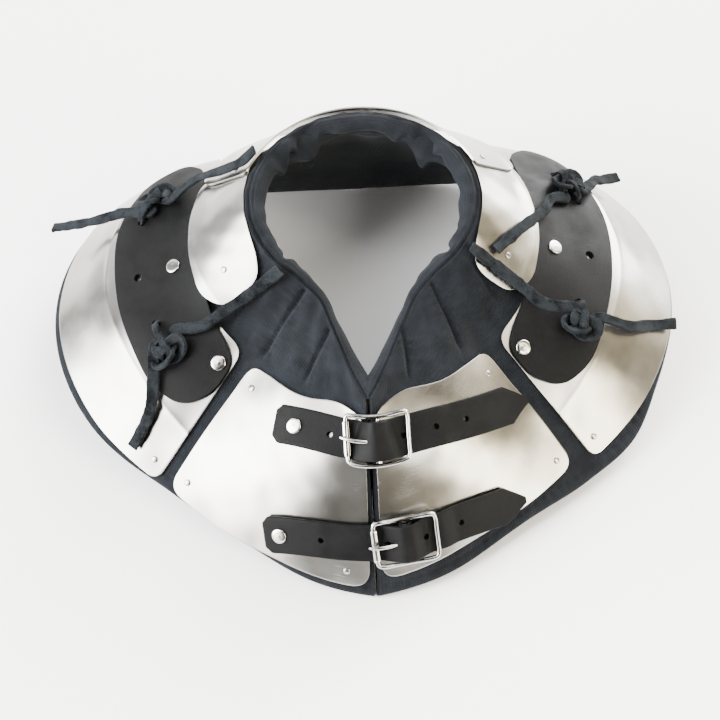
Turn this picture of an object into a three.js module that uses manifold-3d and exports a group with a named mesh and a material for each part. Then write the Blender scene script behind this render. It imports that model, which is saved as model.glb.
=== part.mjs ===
// A steel gorget: a quilted cloth collar and cape that carries steel plates, closed over
// the chest by two leather straps with roller buckles, with a leather patch and two tied
// thongs on each shoulder. It lies on a level surface by its hem, as it rests unworn.
// Millimetres, +Z up, +X to the viewer's right, -Y to the front where it closes.
//
// Places on the gorget are given by three numbers. "turn" is in degrees round the neck:
// 0 at the front closure, 90 at the left shoulder, 180 at the back, 270 at the right
// shoulder. "share" runs down the cape, 0 at the rim and 1 at the hem. "out" is the
// height in mm above the cloth. bend() turns them into a point in space.
import * as THREE from 'three';
import { mergeVertices } from 'three/addons/utils/BufferGeometryUtils.js';
import Module from 'manifold-3d';

const wasm = await Module();
wasm.setup();

// ---- Sizes ----------------------------------------------------------------
const height = 134;              // hem to rim at the back
const rimHalfWidth = 74;         // neck axis to the rim's outer side
const collarHalfWidth = 112;     // neck axis to the collar's foot
const crestHalfWidth = 170;      // neck axis to the bend of the shoulder plate
const capeHalfWidth = 208;       // neck axis to the hem
const closureDrift = -5;         // the closure lies this far to the viewer's left
const closureGap = 2;            // slit between the two fronts
const restTrim = 1.2;            // cloth pressed flat where the hem rests

const linerThick = 10;           // quilted cloth over most of the cape
const rimThick = 14;             // quilted cloth at the rim
const bindingWidth = 12;         // rolled binding on the rim
const bindingRise = 6;
const plateThick = 1.5;
const layerGap = 0.4;            // clearance between two layers
const patchThick = 2.8;
const strapWidth = 25;
const strapThick = 2.5;
const strapLift = 1;             // a strap's rise over the rounding of the plates
const chapeThick = 2;
const wire = 3;                  // buckle wire diameter
const buckleLength = 40;
const buckleInside = 28;         // free width between the side rails
const rollerWidth = 4.8;
const prongWire = 2.6;
const bigRivet = 9.9;            // head diameter
const bigRivetHead = 1.2;
const bigRivetPin = 4;
const smallRivet = 4.4;
const smallRivetHead = 0.7;
const smallRivetPin = 2.2;
const strapHole = 4;
const eyeGap = 0.6;              // clearance of the bar in the chape's eye
const laceHole = 6;
const thong = 5;                 // lace diameter
const knotRadius = 8.6;          // centre line of the knot's outer loops

// ---- The form of the cape -------------------------------------------------
// One row for each direction, from the closure round to the back; both sides use it.
// Each radius is a share of its own half width above, each height a share of height.
const rings = [
  { turn: 0, rimR: 1.676, rimZ: 0.724, footR: 1.375, footZ: 0.56, crestR: 1.088, crestZ: 0.321, hemR: 1.019, hemZ: 0.015 },
  { turn: 10, rimR: 1.23, rimZ: 0.746, footR: 1.313, footZ: 0.567, crestR: 1.059, crestZ: 0.336, hemR: 1.0, hemZ: 0.03 },
  { turn: 25, rimR: 0.892, rimZ: 0.776, footR: 1.179, footZ: 0.575, crestR: 0.988, crestZ: 0.358, hemR: 0.952, hemZ: 0.052 },
  { turn: 45, rimR: 0.797, rimZ: 0.813, footR: 0.929, footZ: 0.582, crestR: 0.912, crestZ: 0.381, hemR: 0.938, hemZ: 0.097 },
  { turn: 65, rimR: 0.892, rimZ: 0.873, footR: 0.946, footZ: 0.634, crestR: 0.959, crestZ: 0.455, hemR: 0.986, hemZ: 0.164 },
  { turn: 90, rimR: 1.0, rimZ: 0.933, footR: 1.0, footZ: 0.657, crestR: 1.0, crestZ: 0.463, hemR: 1.0, hemZ: 0.209 },
  { turn: 120, rimR: 1.054, rimZ: 0.963, footR: 0.973, footZ: 0.672, crestR: 0.918, crestZ: 0.47, hemR: 0.899, hemZ: 0.149 },
  { turn: 150, rimR: 1.041, rimZ: 0.985, footR: 0.875, footZ: 0.657, crestR: 0.741, crestZ: 0.373, hemR: 0.683, hemZ: 0.022 },
  { turn: 180, rimR: 1.014, rimZ: 1.0, footR: 0.821, footZ: 0.642, crestR: 0.647, crestZ: 0.336, hemR: 0.596, hemZ: 0.012 },
];
const footShare = 0.34;          // where down the cape the collar's foot lies
const crestShare = 0.7;          // and the bend of the shoulder plate
const bendShare = 0.12;          // half length over which each bend is rounded
// How far down the padded cloth reaches past the plates, on each side.
const hemReach = [
  { turn: 0, left: 1.0, right: 1.0 },
  { turn: 30, left: 0.985, right: 1.03 },
  { turn: 45, left: 0.98, right: 1.045 },
  { turn: 65, left: 0.985, right: 1.035 },
  { turn: 90, left: 0.99, right: 1.015 },
  { turn: 120, left: 1.0, right: 1.0 },
  { turn: 180, left: 1.0, right: 1.0 },
];
const neckY = (rings[0].hemR - rings[rings.length - 1].hemR) * capeHalfWidth / 2;

// A smooth curve through a table's rows, column by column.
function between(table, turn) {
  const n = table.length;
  const slope = (i, key) => (table[i + 1][key] - table[i][key]) / (table[i + 1].turn - table[i].turn);
  const tangent = (i, key) => {
    if (i === n - 1) return 0;
    if (i === 0) return 1.5 * slope(0, key) - 0.5 * tangent(1, key);
    const before = table[i].turn - table[i - 1].turn;
    const after = table[i + 1].turn - table[i].turn;
    return (slope(i - 1, key) * after + slope(i, key) * before) / (before + after);
  };
  let i = 0;
  while (i < n - 2 && turn > table[i + 1].turn) i += 1;
  const step = table[i + 1].turn - table[i].turn;
  const s = (turn - table[i].turn) / step;
  const row = {};
  for (const key of Object.keys(table[0])) {
    row[key] = (2 * s ** 3 - 3 * s ** 2 + 1) * table[i][key]
      + (s ** 3 - 2 * s ** 2 + s) * step * tangent(i, key)
      + (3 * s ** 2 - 2 * s ** 3) * table[i + 1][key]
      + (s ** 3 - s ** 2) * step * tangent(i + 1, key);
  }
  return row;
}

// Zero before the bend, one to one after it, rounded across it.
function ramp(x) {
  if (x > bendShare) return x;
  if (x < -bendShare) return 0;
  return (x + bendShare) ** 2 / (4 * bendShare);
}

// The outer face of the cloth at a turn of 0 to 180, on the left (-1) or right (1) side.
function skin(side, turn, share) {
  const row = between(rings, turn);
  const stops = [
    [row.rimR * rimHalfWidth, row.rimZ * height],
    [row.footR * collarHalfWidth, row.footZ * height],
    [row.crestR * crestHalfWidth, row.crestZ * height],
    [row.hemR * capeHalfWidth, row.hemZ * height],
  ];
  const along = [0, 1].map((k) => {
    const collar = (stops[1][k] - stops[0][k]) / footShare;
    const shoulder = (stops[2][k] - stops[1][k]) / (crestShare - footShare);
    const flange = (stops[3][k] - stops[2][k]) / (1 - crestShare);
    return stops[0][k] + collar * share + (shoulder - collar) * ramp(share - footShare)
      + (flange - shoulder) * ramp(share - crestShare);
  });
  const angle = turn * Math.PI / 180;
  const near = Math.min(1, Math.max(0, (35 - turn) / 35)) ** 1.5;
  const x = side * (along[0] * Math.sin(angle) + near * closureGap / 2) + near * closureDrift;
  return new THREE.Vector3(x, neckY - along[0] * Math.cos(angle), along[1]);
}

// ---- The grid that every layer follows ------------------------------------
const turnStep = 12;
const shareStep = 0.1;
const firstShare = -0.2;
const shareLines = 16;
const turnLines = 360 / turnStep;

function gridNode(i, j) {
  const full = i * turnStep;
  const side = full <= 180 ? -1 : 1;
  const turn = full <= 180 ? full : 360 - full;
  const share = firstShare + j * shareStep;
  const low = Math.max(0, turn - 0.5);
  const high = Math.min(180, turn + 0.5);
  const across = skin(side, high, share).sub(skin(side, low, share));
  const down = skin(side, turn, share + 0.005).sub(skin(side, turn, share - 0.005));
  const normal = down.cross(across).multiplyScalar(side);
  if (turn === 0 || turn === 180) normal.x = 0;
  return { point: skin(side, turn, share), normal: normal.normalize() };
}
const grid = [];
for (let i = 0; i <= turnLines; i += 1) {
  grid.push([]);
  for (let j = 0; j < shareLines; j += 1) grid[i].push(gridNode(i, j));
}
// The closure's two sides are one place apart by the slit.
grid[0].forEach((node, j) => { node.point = skin(-1, 0, firstShare + j * shareStep); });
grid[turnLines].forEach((node, j) => { node.point = skin(1, 0, firstShare + j * shareStep); });

// The three grid corners round a place and their weights, the same for every layer, so
// that two layers at different heights never cross.
function corners(turn, share) {
  const a = Math.min(turnLines - 1e-9, Math.max(0, turn / turnStep));
  const b = Math.min(shareLines - 1.000001, Math.max(0, (share - firstShare) / shareStep));
  const i = Math.floor(a);
  const j = Math.floor(b);
  const u = a - i;
  const v = b - j;
  if (v < u) return [[i, j, 1 - u], [i + 1, j, u - v], [i + 1, j + 1, v]];
  return [[i, j, 1 - v], [i, j + 1, v - u], [i + 1, j + 1, u]];
}
function bend(turn, share, out) {
  const place = new THREE.Vector3();
  for (const [i, j, weight] of corners(turn, share)) {
    place.addScaledVector(grid[i][j].point, weight);
    place.addScaledVector(grid[i][j].normal, weight * out);
  }
  return place;
}
// The way out of the cloth at a place.
function outward(turn, share) {
  const way = new THREE.Vector3();
  for (const [i, j, weight] of corners(turn, share)) way.addScaledVector(grid[i][j].normal, weight);
  return way.normalize();
}

// ---- Solids ---------------------------------------------------------------
function toManifold(geometry) {
  const bare = geometry.clone();
  bare.deleteAttribute('normal');
  bare.deleteAttribute('uv');
  const merged = mergeVertices(bare, 1e-5);
  return new wasm.Manifold(new wasm.Mesh({
    numProp: 3,
    vertProperties: new Float32Array(merged.attributes.position.array),
    triVerts: new Uint32Array(merged.index.array),
  }));
}
function fromArrays(positions, triangles) {
  const geometry = new THREE.BufferGeometry();
  geometry.setAttribute('position', new THREE.BufferAttribute(new Float32Array(positions), 3));
  geometry.setIndex(triangles);
  return geometry;
}
function fromManifold(solid) {
  const mesh = solid.getMesh();
  return fromArrays(mesh.vertProperties, Array.from(mesh.triVerts));
}

// A body made of equal rings of points, closed at both ends or joined round.
function fromRings(ringsOfPoints, joined = false) {
  const count = ringsOfPoints[0].length;
  const positions = ringsOfPoints.flat().flatMap((p) => [p.x, p.y, p.z]);
  const triangles = [];
  const last = joined ? ringsOfPoints.length : ringsOfPoints.length - 1;
  for (let i = 0; i < last; i += 1) {
    const here = i * count;
    const next = ((i + 1) % ringsOfPoints.length) * count;
    for (let k = 0; k < count; k += 1) {
      const m = (k + 1) % count;
      triangles.push(here + k, here + m, next + m, here + k, next + m, next + k);
    }
  }
  if (!joined) {
    const end = (ringsOfPoints.length - 1) * count;
    for (let k = 1; k < count - 1; k += 1) {
      triangles.push(0, k + 1, k);
      triangles.push(end, end + k, end + k + 1);
    }
  }
  return facingOut(fromArrays(positions, triangles));
}
// Turns every face round if the solid came out inside out.
function facingOut(geometry) {
  const p = geometry.attributes.position;
  const index = geometry.index.array;
  const [a, b, c] = [new THREE.Vector3(), new THREE.Vector3(), new THREE.Vector3()];
  let volume = 0;
  for (let k = 0; k < index.length; k += 3) {
    a.fromBufferAttribute(p, index[k]);
    b.fromBufferAttribute(p, index[k + 1]);
    c.fromBufferAttribute(p, index[k + 2]);
    volume += a.dot(b.cross(c));
  }
  if (volume < 0) {
    const turned = Array.from(index);
    for (let k = 0; k < turned.length; k += 3) {
      [turned[k], turned[k + 1]] = [turned[k + 1], turned[k]];
    }
    geometry.setIndex(turned);
  }
  return geometry;
}

// A rod of round wire along a line of points.
function rod(points, radius, sides = 8, joined = false) {
  const n = points.length;
  let up = new THREE.Vector3(0.31, 0.17, 0.93);
  const loops = points.map((p, i) => {
    const before = joined ? points[(i + n - 1) % n] : points[Math.max(0, i - 1)];
    const after = joined ? points[(i + 1) % n] : points[Math.min(n - 1, i + 1)];
    const into = p.clone().sub(before).normalize();
    const from = after.clone().sub(p).normalize();
    const along = into.add(from).normalize();
    const across = up.clone().cross(along).normalize();
    const over = along.clone().cross(across).normalize();
    up = over;
    return Array.from({ length: sides }, (_, k) => {
      const angle = (k + 0.5) * 2 * Math.PI / sides;
      return p.clone()
        .addScaledVector(across, radius * Math.cos(angle))
        .addScaledVector(over, radius * Math.sin(angle));
    });
  });
  return fromRings(loops, joined);
}

// ---- Flat pieces that are cut in the flat and then bent --------------------
// A piece is cut out of a sheet in flat co-ordinates and then carried to its place.
// While flat, the sheet is domed, so that its grid lines stay in the cut solid.
const dome = (u, v) => 0.01 * (u * u + v * v) + 0.004 * u * v;

function flatSheet(us, vs, low, high) {
  const positions = [];
  for (const top of [0, 1]) {
    for (const u of us) {
      for (const v of vs) positions.push(u, v, dome(u, v) + (top ? high(u, v) : low(u, v)));
    }
  }
  const nu = us.length;
  const nv = vs.length;
  const at = (top, i, j) => (top * nu + i) * nv + j;
  const triangles = [];
  const quad = (a, b, c, d) => triangles.push(a, b, c, a, c, d);
  for (let i = 0; i < nu - 1; i += 1) {
    for (let j = 0; j < nv - 1; j += 1) {
      quad(at(1, i, j), at(1, i + 1, j), at(1, i + 1, j + 1), at(1, i, j + 1));
      triangles.push(at(0, i, j), at(0, i + 1, j + 1), at(0, i + 1, j));
      triangles.push(at(0, i, j), at(0, i, j + 1), at(0, i + 1, j + 1));
    }
  }
  for (let i = 0; i < nu - 1; i += 1) {
    quad(at(0, i, 0), at(0, i + 1, 0), at(1, i + 1, 0), at(1, i, 0));
    quad(at(0, i + 1, nv - 1), at(0, i, nv - 1), at(1, i, nv - 1), at(1, i + 1, nv - 1));
  }
  for (let j = 0; j < nv - 1; j += 1) {
    quad(at(0, 0, j + 1), at(0, 0, j), at(1, 0, j), at(1, 0, j + 1));
    quad(at(0, nu - 1, j), at(0, nu - 1, j + 1), at(1, nu - 1, j + 1), at(1, nu - 1, j));
  }
  return toManifold(facingOut(fromArrays(positions, triangles)));
}

// An outline with its corners rounded; each corner is {u, v, round}, and unit gives the
// flat co-ordinates' length in mm at a place.
function roundedOutline(cornersOfIt, unit, steps = 2) {
  const n = cornersOfIt.length;
  const points = [];
  cornersOfIt.forEach((corner, i) => {
    if (!corner.round) {
      points.push(new THREE.Vector2(corner.u, corner.v));
      return;
    }
    const [du, dv] = unit(corner.u, corner.v);
    const toward = (other) => {
      const mm = Math.hypot((other.u - corner.u) * du, (other.v - corner.v) * dv);
      const part = Math.min(0.45, corner.round / mm);
      return new THREE.Vector2(corner.u + (other.u - corner.u) * part, corner.v + (other.v - corner.v) * part);
    };
    const a = toward(cornersOfIt[(i + n - 1) % n]);
    const c = toward(cornersOfIt[(i + 1) % n]);
    for (let k = 0; k <= steps; k += 1) {
      const s = k / steps;
      points.push(new THREE.Vector2(
        (1 - s) ** 2 * a.x + 2 * s * (1 - s) * corner.u + s * s * c.x,
        (1 - s) ** 2 * a.y + 2 * s * (1 - s) * corner.v + s * s * c.y,
      ));
    }
  });
  return points;
}
function holeOutline(hole, unit, sides) {
  const [du, dv] = unit(hole.u, hole.v);
  return Array.from({ length: sides }, (_, k) => {
    const angle = (k + 0.5) * 2 * Math.PI / sides;
    return new THREE.Vector2(
      hole.u + (hole.along ?? hole.across) / 2 / du / Math.cos(Math.PI / sides) * Math.cos(angle),
      hole.v + hole.across / 2 / dv / Math.cos(Math.PI / sides) * Math.sin(angle),
    );
  });
}
function cutFlat(sheet, outline, holes, unit) {
  const shape = new THREE.Shape(outline);
  holes.forEach((hole) => shape.holes.push(new THREE.Path(holeOutline(hole, unit, hole.sides))));
  const cutter = new THREE.ExtrudeGeometry(shape, { depth: 3000, bevelEnabled: false, curveSegments: 1 });
  cutter.translate(0, 0, -500);
  return sheet.intersect(toManifold(cutter));
}
function carry(solid, place) {
  const mesh = solid.getMesh();
  const positions = [];
  for (let k = 0; k < mesh.vertProperties.length; k += 3) {
    const [u, v, h] = mesh.vertProperties.slice(k, k + 3);
    positions.push(...place(u, v, h).toArray());
  }
  return facingOut(fromArrays(positions, Array.from(mesh.triVerts)));
}

// Plates and patches: u is the turn, v is 100 times the share.
function capeUnit(u, v) {
  const here = bend(u, v / 100, 0);
  return [bend(u + 0.5, v / 100, 0).distanceTo(here) / 0.5, bend(u, v / 100 + 0.005, 0).distanceTo(here) / 0.5];
}
function capePiece(cornersOfIt, holes, low, thick) {
  const flat = cornersOfIt.map((c) => ({ u: c.turn, v: c.share * 100, round: c.round }));
  const turns = cornersOfIt.map((c) => c.turn);
  const shares = cornersOfIt.map((c) => c.share);
  const us = [];
  const vs = [];
  const firstU = Math.max(0, Math.floor(Math.min(...turns) / turnStep));
  const lastU = Math.min(turnLines, Math.ceil(Math.max(...turns) / turnStep));
  for (let i = firstU; i <= lastU; i += 1) us.push(i * turnStep);
  const firstV = Math.floor((Math.min(...shares) - firstShare) / shareStep - 0.01);
  const lastV = Math.ceil((Math.max(...shares) - firstShare) / shareStep + 0.01);
  for (let j = firstV; j <= lastV; j += 1) vs.push((firstShare + j * shareStep) * 100);
  const base = (u, v) => low(u, v / 100);
  const sheet = flatSheet(us, vs, base, (u, v) => base(u, v) + thick);
  const flatHoles = holes.map((h) => ({ ...h, u: h.turn, v: h.share * 100 }));
  const solid = cutFlat(sheet, roundedOutline(flat, capeUnit), flatHoles, capeUnit);
  return carry(solid, (u, v, h) => {
    let lift = 0;
    for (const [i, j, weight] of corners(u, v / 100)) {
      lift += weight * dome(i * turnStep, (firstShare + j * shareStep) * 100);
    }
    return bend(u, v / 100, h - lift);
  });
}

// ---- The gorget -------------------------------------------------------------
const steel = { color: 0xc9c8c3, roughness: 0.32, metalness: 1 };
const nickel = { color: 0xd8d6d0, roughness: 0.18, metalness: 1 };
const leather = { color: 0x1c1c1e, roughness: 0.62, metalness: 0 };
const suede = { color: 0x2b2e31, roughness: 0.95, metalness: 0 };
const cloth = { color: 0x272c36, roughness: 0.9, metalness: 0 };

const gorget = new THREE.Group();
function add(name, geometry, finish, group = gorget) {
  const bare = geometry.toNonIndexed();
  bare.computeVertexNormals();
  const mesh = new THREE.Mesh(bare, new THREE.MeshStandardMaterial(finish));
  mesh.name = name;
  group.add(mesh);
  return mesh;
}
// The other side's copy of a table of places.
const mirrored = (rows) => rows.map((row) => ({ ...row, turn: 360 - row.turn }));

// The padded cloth: one thick sheet round the neck, open along the front.
function linerRing(i) {
  const turn = i * turnStep;
  const side = turn <= 180 ? 'left' : 'right';
  const reach = between(hemReach, Math.min(turn, 360 - turn))[side];
  const thick = (share) => linerThick + (rimThick - linerThick) * Math.max(0, 1 - share / 0.2);
  const ring = [];
  for (let j = 0; j <= 9; j += 1) ring.push(bend(turn, j / 10, 0));
  ring.push(bend(turn, reach, 0));
  ring.push(bend(turn, reach + 0.03, -linerThick / 2));
  ring.push(bend(turn, reach, -linerThick));
  for (const share of [0.8, 0.6, 0.4, 0.2]) ring.push(bend(turn, share, -thick(share)));
  ring.push(bend(turn, 0, -rimThick));
  return ring;
}
const linerRings = Array.from({ length: turnLines + 1 }, (_, i) => linerRing(i));
const lowest = Math.min(...linerRings.flat().map((p) => p.z));
const floorBox = new THREE.BoxGeometry(4 * capeHalfWidth, 4 * capeHalfWidth, 100);
const trim = { level: lowest + restTrim };
floorBox.translate(0, 0, trim.level - 50);
const linerSolid = toManifold(fromRings(linerRings)).subtract(toManifold(floorBox));
add('liner', fromManifold(linerSolid), cloth);

// The rolled binding that sits on the rim.
const bindingRings = linerRings.map((_, i) => {
  const turn = i * turnStep;
  const foot = bend(turn, 0, -rimThick / 2);
  const inner = bend(turn, 0, -rimThick).sub(bend(turn, 0, 0)).normalize();
  const up = bend(turn, -0.1, 0).sub(bend(turn, 0, 0));
  up.addScaledVector(inner, -up.dot(inner)).normalize();
  const half = bindingWidth / 2;
  return [[-1, 0.05], [-0.95, 0.55], [-0.5, 0.95], [0.5, 0.95], [0.95, 0.55], [1, 0.05]].map(([a, b]) => (
    foot.clone().addScaledVector(inner, a * half).addScaledVector(up, 2 * layerGap + b * bindingRise)
  ));
});
add('neck_binding', fromRings(bindingRings), cloth);

// Plate outlines on the left side, corner by corner; round is in mm.
const chestOutline = [
  { turn: 0.8, share: 0.13, round: 8 },
  { turn: 8, share: 0.165 },
  { turn: 20, share: 0.25 },
  { turn: 32, share: 0.3 },
  { turn: 43.5, share: 0.38, round: 9 },
  { turn: 44, share: 0.65 },
  { turn: 45.2, share: 0.96, round: 12 },
  { turn: 28, share: 0.975 },
  { turn: 16, share: 0.955 },
  { turn: 0.8, share: 0.97, round: 14 },
];
const shoulderOutline = [
  { turn: 49, share: 0.375, round: 10 },
  { turn: 62, share: 0.365 },
  { turn: 76, share: 0.345 },
  { turn: 90, share: 0.34 },
  { turn: 108, share: 0.345 },
  { turn: 128, share: 0.37, round: 10 },
  { turn: 137, share: 0.66 },
  { turn: 142, share: 0.95, round: 12 },
  { turn: 120, share: 0.955 },
  { turn: 90, share: 0.965 },
  { turn: 60, share: 0.965 },
  { turn: 47.8, share: 0.97, round: 9 },
  { turn: 47, share: 0.66 },
];
const collarOutline = [
  { turn: 62.5, share: 0.1, round: 12 },
  { turn: 63.5, share: 0.29, round: 9 },
  { turn: 72, share: 0.35, round: 10 },
  { turn: 82, share: 0.325 },
  { turn: 100, share: 0.315 },
  { turn: 118, share: 0.34, round: 12 },
  { turn: 118, share: 0.02, round: 4 },
  { turn: 100, share: 0.01 },
  { turn: 84, share: 0.01 },
  { turn: 72, share: 0.035 },
];
const collarBackOutline = [
  { turn: 114, share: 0.015, round: 5 },
  { turn: 114, share: 0.33, round: 12 },
  { turn: 135, share: 0.36 },
  { turn: 180, share: 0.37 },
  { turn: 225, share: 0.36 },
  { turn: 246, share: 0.33, round: 12 },
  { turn: 246, share: 0.015, round: 5 },
  { turn: 225, share: -0.005 },
  { turn: 180, share: -0.015 },
  { turn: 135, share: -0.005 },
];
const backOutline = [
  { turn: 146, share: 0.42, round: 10 },
  { turn: 146, share: 0.93, round: 10 },
  { turn: 180, share: 0.95 },
  { turn: 214, share: 0.93, round: 10 },
  { turn: 214, share: 0.42, round: 10 },
  { turn: 180, share: 0.41 },
];
const patchOutline = [
  { turn: 49, share: 0.44, round: 8 },
  { turn: 55, share: 0.395 },
  { turn: 65, share: 0.36 },
  { turn: 74, share: 0.325 },
  { turn: 90, share: 0.31 },
  { turn: 106, share: 0.32 },
  { turn: 118, share: 0.38 },
  { turn: 125, share: 0.47, round: 8 },
  { turn: 126.5, share: 0.62, round: 9 },
  { turn: 118, share: 0.71, round: 9 },
  { turn: 106, share: 0.69 },
  { turn: 90, share: 0.65 },
  { turn: 74, share: 0.67 },
  { turn: 60, share: 0.71, round: 10 },
  { turn: 52, share: 0.69, round: 10 },
  { turn: 48, share: 0.57 },
];

// Rivets and holes, as places on the left side.
const smallRivets = {
  chest: [
    { turn: 39, share: 0.43, across: smallRivetPin },
    { turn: 42, share: 0.9, across: smallRivetPin },
    { turn: 5.2, share: 0.905, across: smallRivetPin },
  ],
  shoulder: [{ turn: 50.5, share: 0.91, across: smallRivetPin }],
  collar: [{ turn: 75.5, share: 0.195, across: smallRivetPin }],
  collarBack: [{ turn: 119, share: 0.11, across: smallRivetPin }],
};
const patchRivets = [
  { turn: 52.5, share: 0.475, across: bigRivetPin },
  { turn: 86.5, share: 0.41, across: bigRivetPin },
];
const patchHoles = [
  { turn: 87, share: 0.56, across: laceHole },
  { turn: 64.5, share: 0.63, across: laceHole },
  { turn: 72, share: 0.56, across: laceHole },
  { turn: 104, share: 0.58, across: laceHole },
  { turn: 113.5, share: 0.57, across: laceHole },
];
const strapRivets = [
  { turn: 20.8, share: 0.357, across: bigRivetPin },
  { turn: 18.8, share: 0.842, across: bigRivetPin },
];
const pinGap = 0.35;
const bored = (rows, sides, gap = 1.5 * pinGap) => rows.map((row) => ({ ...row, across: row.across + 2 * gap, sides }));

const plateFoot = layerGap;
const plateTop = plateFoot + plateThick;
const flatLow = () => plateFoot;
const patchFoot = plateTop + layerGap;
const patchTop = patchFoot + patchThick;
// The collar's side plates stand off the cloth toward their foot, to pass over the patch.
const patchEdge = 0.3;
const collarLow = (u, share) => plateFoot
  + (patchTop + layerGap - plateFoot) * Math.min(1, Math.max(0, share / patchEdge));
const collarBackLow = (u, share) => collarLow(u, share) + plateThick + layerGap;

// The right chest plate sits a little higher on the cloth, and closer to the closure.
const rightChest = { turn: -1.4, share: -0.03 };
const drawnIn = (rows) => rows.map((row) => ({
  ...row,
  turn: row.turn + row.turn / 45 * rightChest.turn,
  share: row.share + rightChest.share,
}));
const chestPlates = {
  left: [chestOutline, bored(smallRivets.chest, 6), bored(strapRivets, 8, 3 * pinGap)],
  right: [
    mirrored(drawnIn(chestOutline)),
    mirrored(drawnIn(bored(smallRivets.chest, 6))),
    [],
  ],
};
for (const side of ['left', 'right']) {
  const [outline, small, big] = chestPlates[side];
  add(`chest_plate_${side}`, capePiece(outline, [...small, ...big], flatLow, plateThick), steel);
}
for (const side of ['left', 'right']) {
  const put = (rows) => (side === 'left' ? rows : mirrored(rows));
  const shoulderHoles = [...bored(smallRivets.shoulder, 6), ...bored(patchRivets, 8)];
  add(`shoulder_plate_${side}`, capePiece(put(shoulderOutline), put(shoulderHoles), flatLow, plateThick), steel);
  const patchBores = [...bored(patchRivets, 8), ...patchHoles.map((hole) => ({ ...hole, sides: 6 }))];
  add(`shoulder_patch_${side}`, capePiece(put(patchOutline), put(patchBores), () => patchFoot, patchThick), leather);
  const collarHoles = bored(smallRivets.collar, 6);
  add(`collar_plate_${side}`, capePiece(put(collarOutline), put(collarHoles), collarLow, plateThick), steel);
}
add('collar_plate_back', capePiece(
  collarBackOutline,
  [...bored(smallRivets.collarBack, 6), ...bored(mirrored(smallRivets.collarBack), 6)],
  collarBackLow,
  plateThick,
), steel);
add('back_plate', capePiece(backOutline, [], flatLow, plateThick), steel);

// ---- Straps and buckles ------------------------------------------------------
// Each strap crosses the closure from its rivets on the left plate to its tip on the
// right one. Its places are on its middle line; "at" is then measured along it in mm.
const strapFoot = plateTop + layerGap + strapLift;
const straps = {
  upper: {
    places: [
      { turn: 26.5, share: 0.41 },
      { turn: 20.8, share: 0.357, rivet: true },
      { turn: 11.3, share: 0.307 },
      { turn: 0, share: 0.262 },
      { turn: -5.9, share: 0.288 },
      { turn: -14.3, share: 0.332 },
      { turn: -23, share: 0.394 },
      { turn: -33.3, share: 0.505 },
      { turn: -44.5, share: 0.64 },
    ],
    bar: 7,
    tail: 0.92,
    holes: [-25, 23, 45, 67],
    chapeEnd: 46,
  },
  lower: {
    places: [
      { turn: 22.2, share: 0.878 },
      { turn: 18.8, share: 0.842, rivet: true },
      { turn: 11.9, share: 0.79 },
      { turn: 0, share: 0.762 },
      { turn: -8.2, share: 0.777 },
      { turn: -13.9, share: 0.785 },
      { turn: -21.1, share: 0.822 },
      { turn: -29.1, share: 0.878 },
      { turn: -32, share: 0.9 },
    ],
    bar: 21,
    tail: 1,
    holes: [-33, 9, 33, 58],
    chapeEnd: 42,
  },
};
const stationStep = 13;

// The middle line of a strap: stations a step apart, each with its way along, out and
// across (down the cape), and one station right at the closure and one at the rivet.
function strapLine(places) {
  const signed = (turn) => (turn < 0 ? turn + 360 : turn);
  const on = (turn, share) => {
    if (turn !== 0) return bend(signed(turn), share, strapFoot);
    return bend(0, share, strapFoot).add(bend(360, share, strapFoot)).multiplyScalar(0.5);
  };
  const stations = [];
  for (let k = 0; k < places.length - 1; k += 1) {
    const a = places[k];
    const b = places[k + 1];
    const length = on(a.turn, a.share).distanceTo(on(b.turn, b.share));
    const count = Math.max(1, Math.round(length / stationStep));
    for (let m = 0; m < count; m += 1) {
      const s = m / count;
      stations.push({ turn: a.turn + (b.turn - a.turn) * s, share: a.share + (b.share - a.share) * s, rivet: m === 0 && a.rivet });
    }
  }
  stations.push(places[places.length - 1]);
  const points = stations.map((p) => on(p.turn, p.share));
  let at = 0;
  const line = stations.map((p, i) => {
    if (i > 0) at += points[i].distanceTo(points[i - 1]);
    const along = points[Math.min(i + 1, points.length - 1)].clone()
      .sub(points[Math.max(i - 1, 0)]).normalize();
    const out = outward(signed(p.turn), p.share);
    out.addScaledVector(along, -out.dot(along)).normalize();
    const down = along.clone().cross(out).normalize();
    if (down.z > 0) down.negate();
    return { ...p, at, point: points[i], out, down };
  });
  for (const key of ['out', 'down']) {
    const eased = line.map((p, i) => p[key].clone().multiplyScalar(2)
      .add(line[Math.max(0, i - 1)][key])
      .add(line[Math.min(line.length - 1, i + 1)][key])
      .normalize());
    line.forEach((p, i) => { p[key] = eased[i]; });
  }
  const middle = line.find((p) => p.turn === 0).at;
  line.forEach((p) => { p.at -= middle; });
  return line;
}
// A point beside a strap line: at mm along, high above its foot, down across it.
function onLine(line, at, high, down) {
  let i = 0;
  while (i < line.length - 2 && at > line[i + 1].at) i += 1;
  const s = (at - line[i].at) / (line[i + 1].at - line[i].at);
  const point = line[i].point.clone().lerp(line[i + 1].point, s);
  point.addScaledVector(line[i].out.clone().lerp(line[i + 1].out, s), high);
  return point.addScaledVector(line[i].down.clone().lerp(line[i + 1].down, s), down);
}

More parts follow.
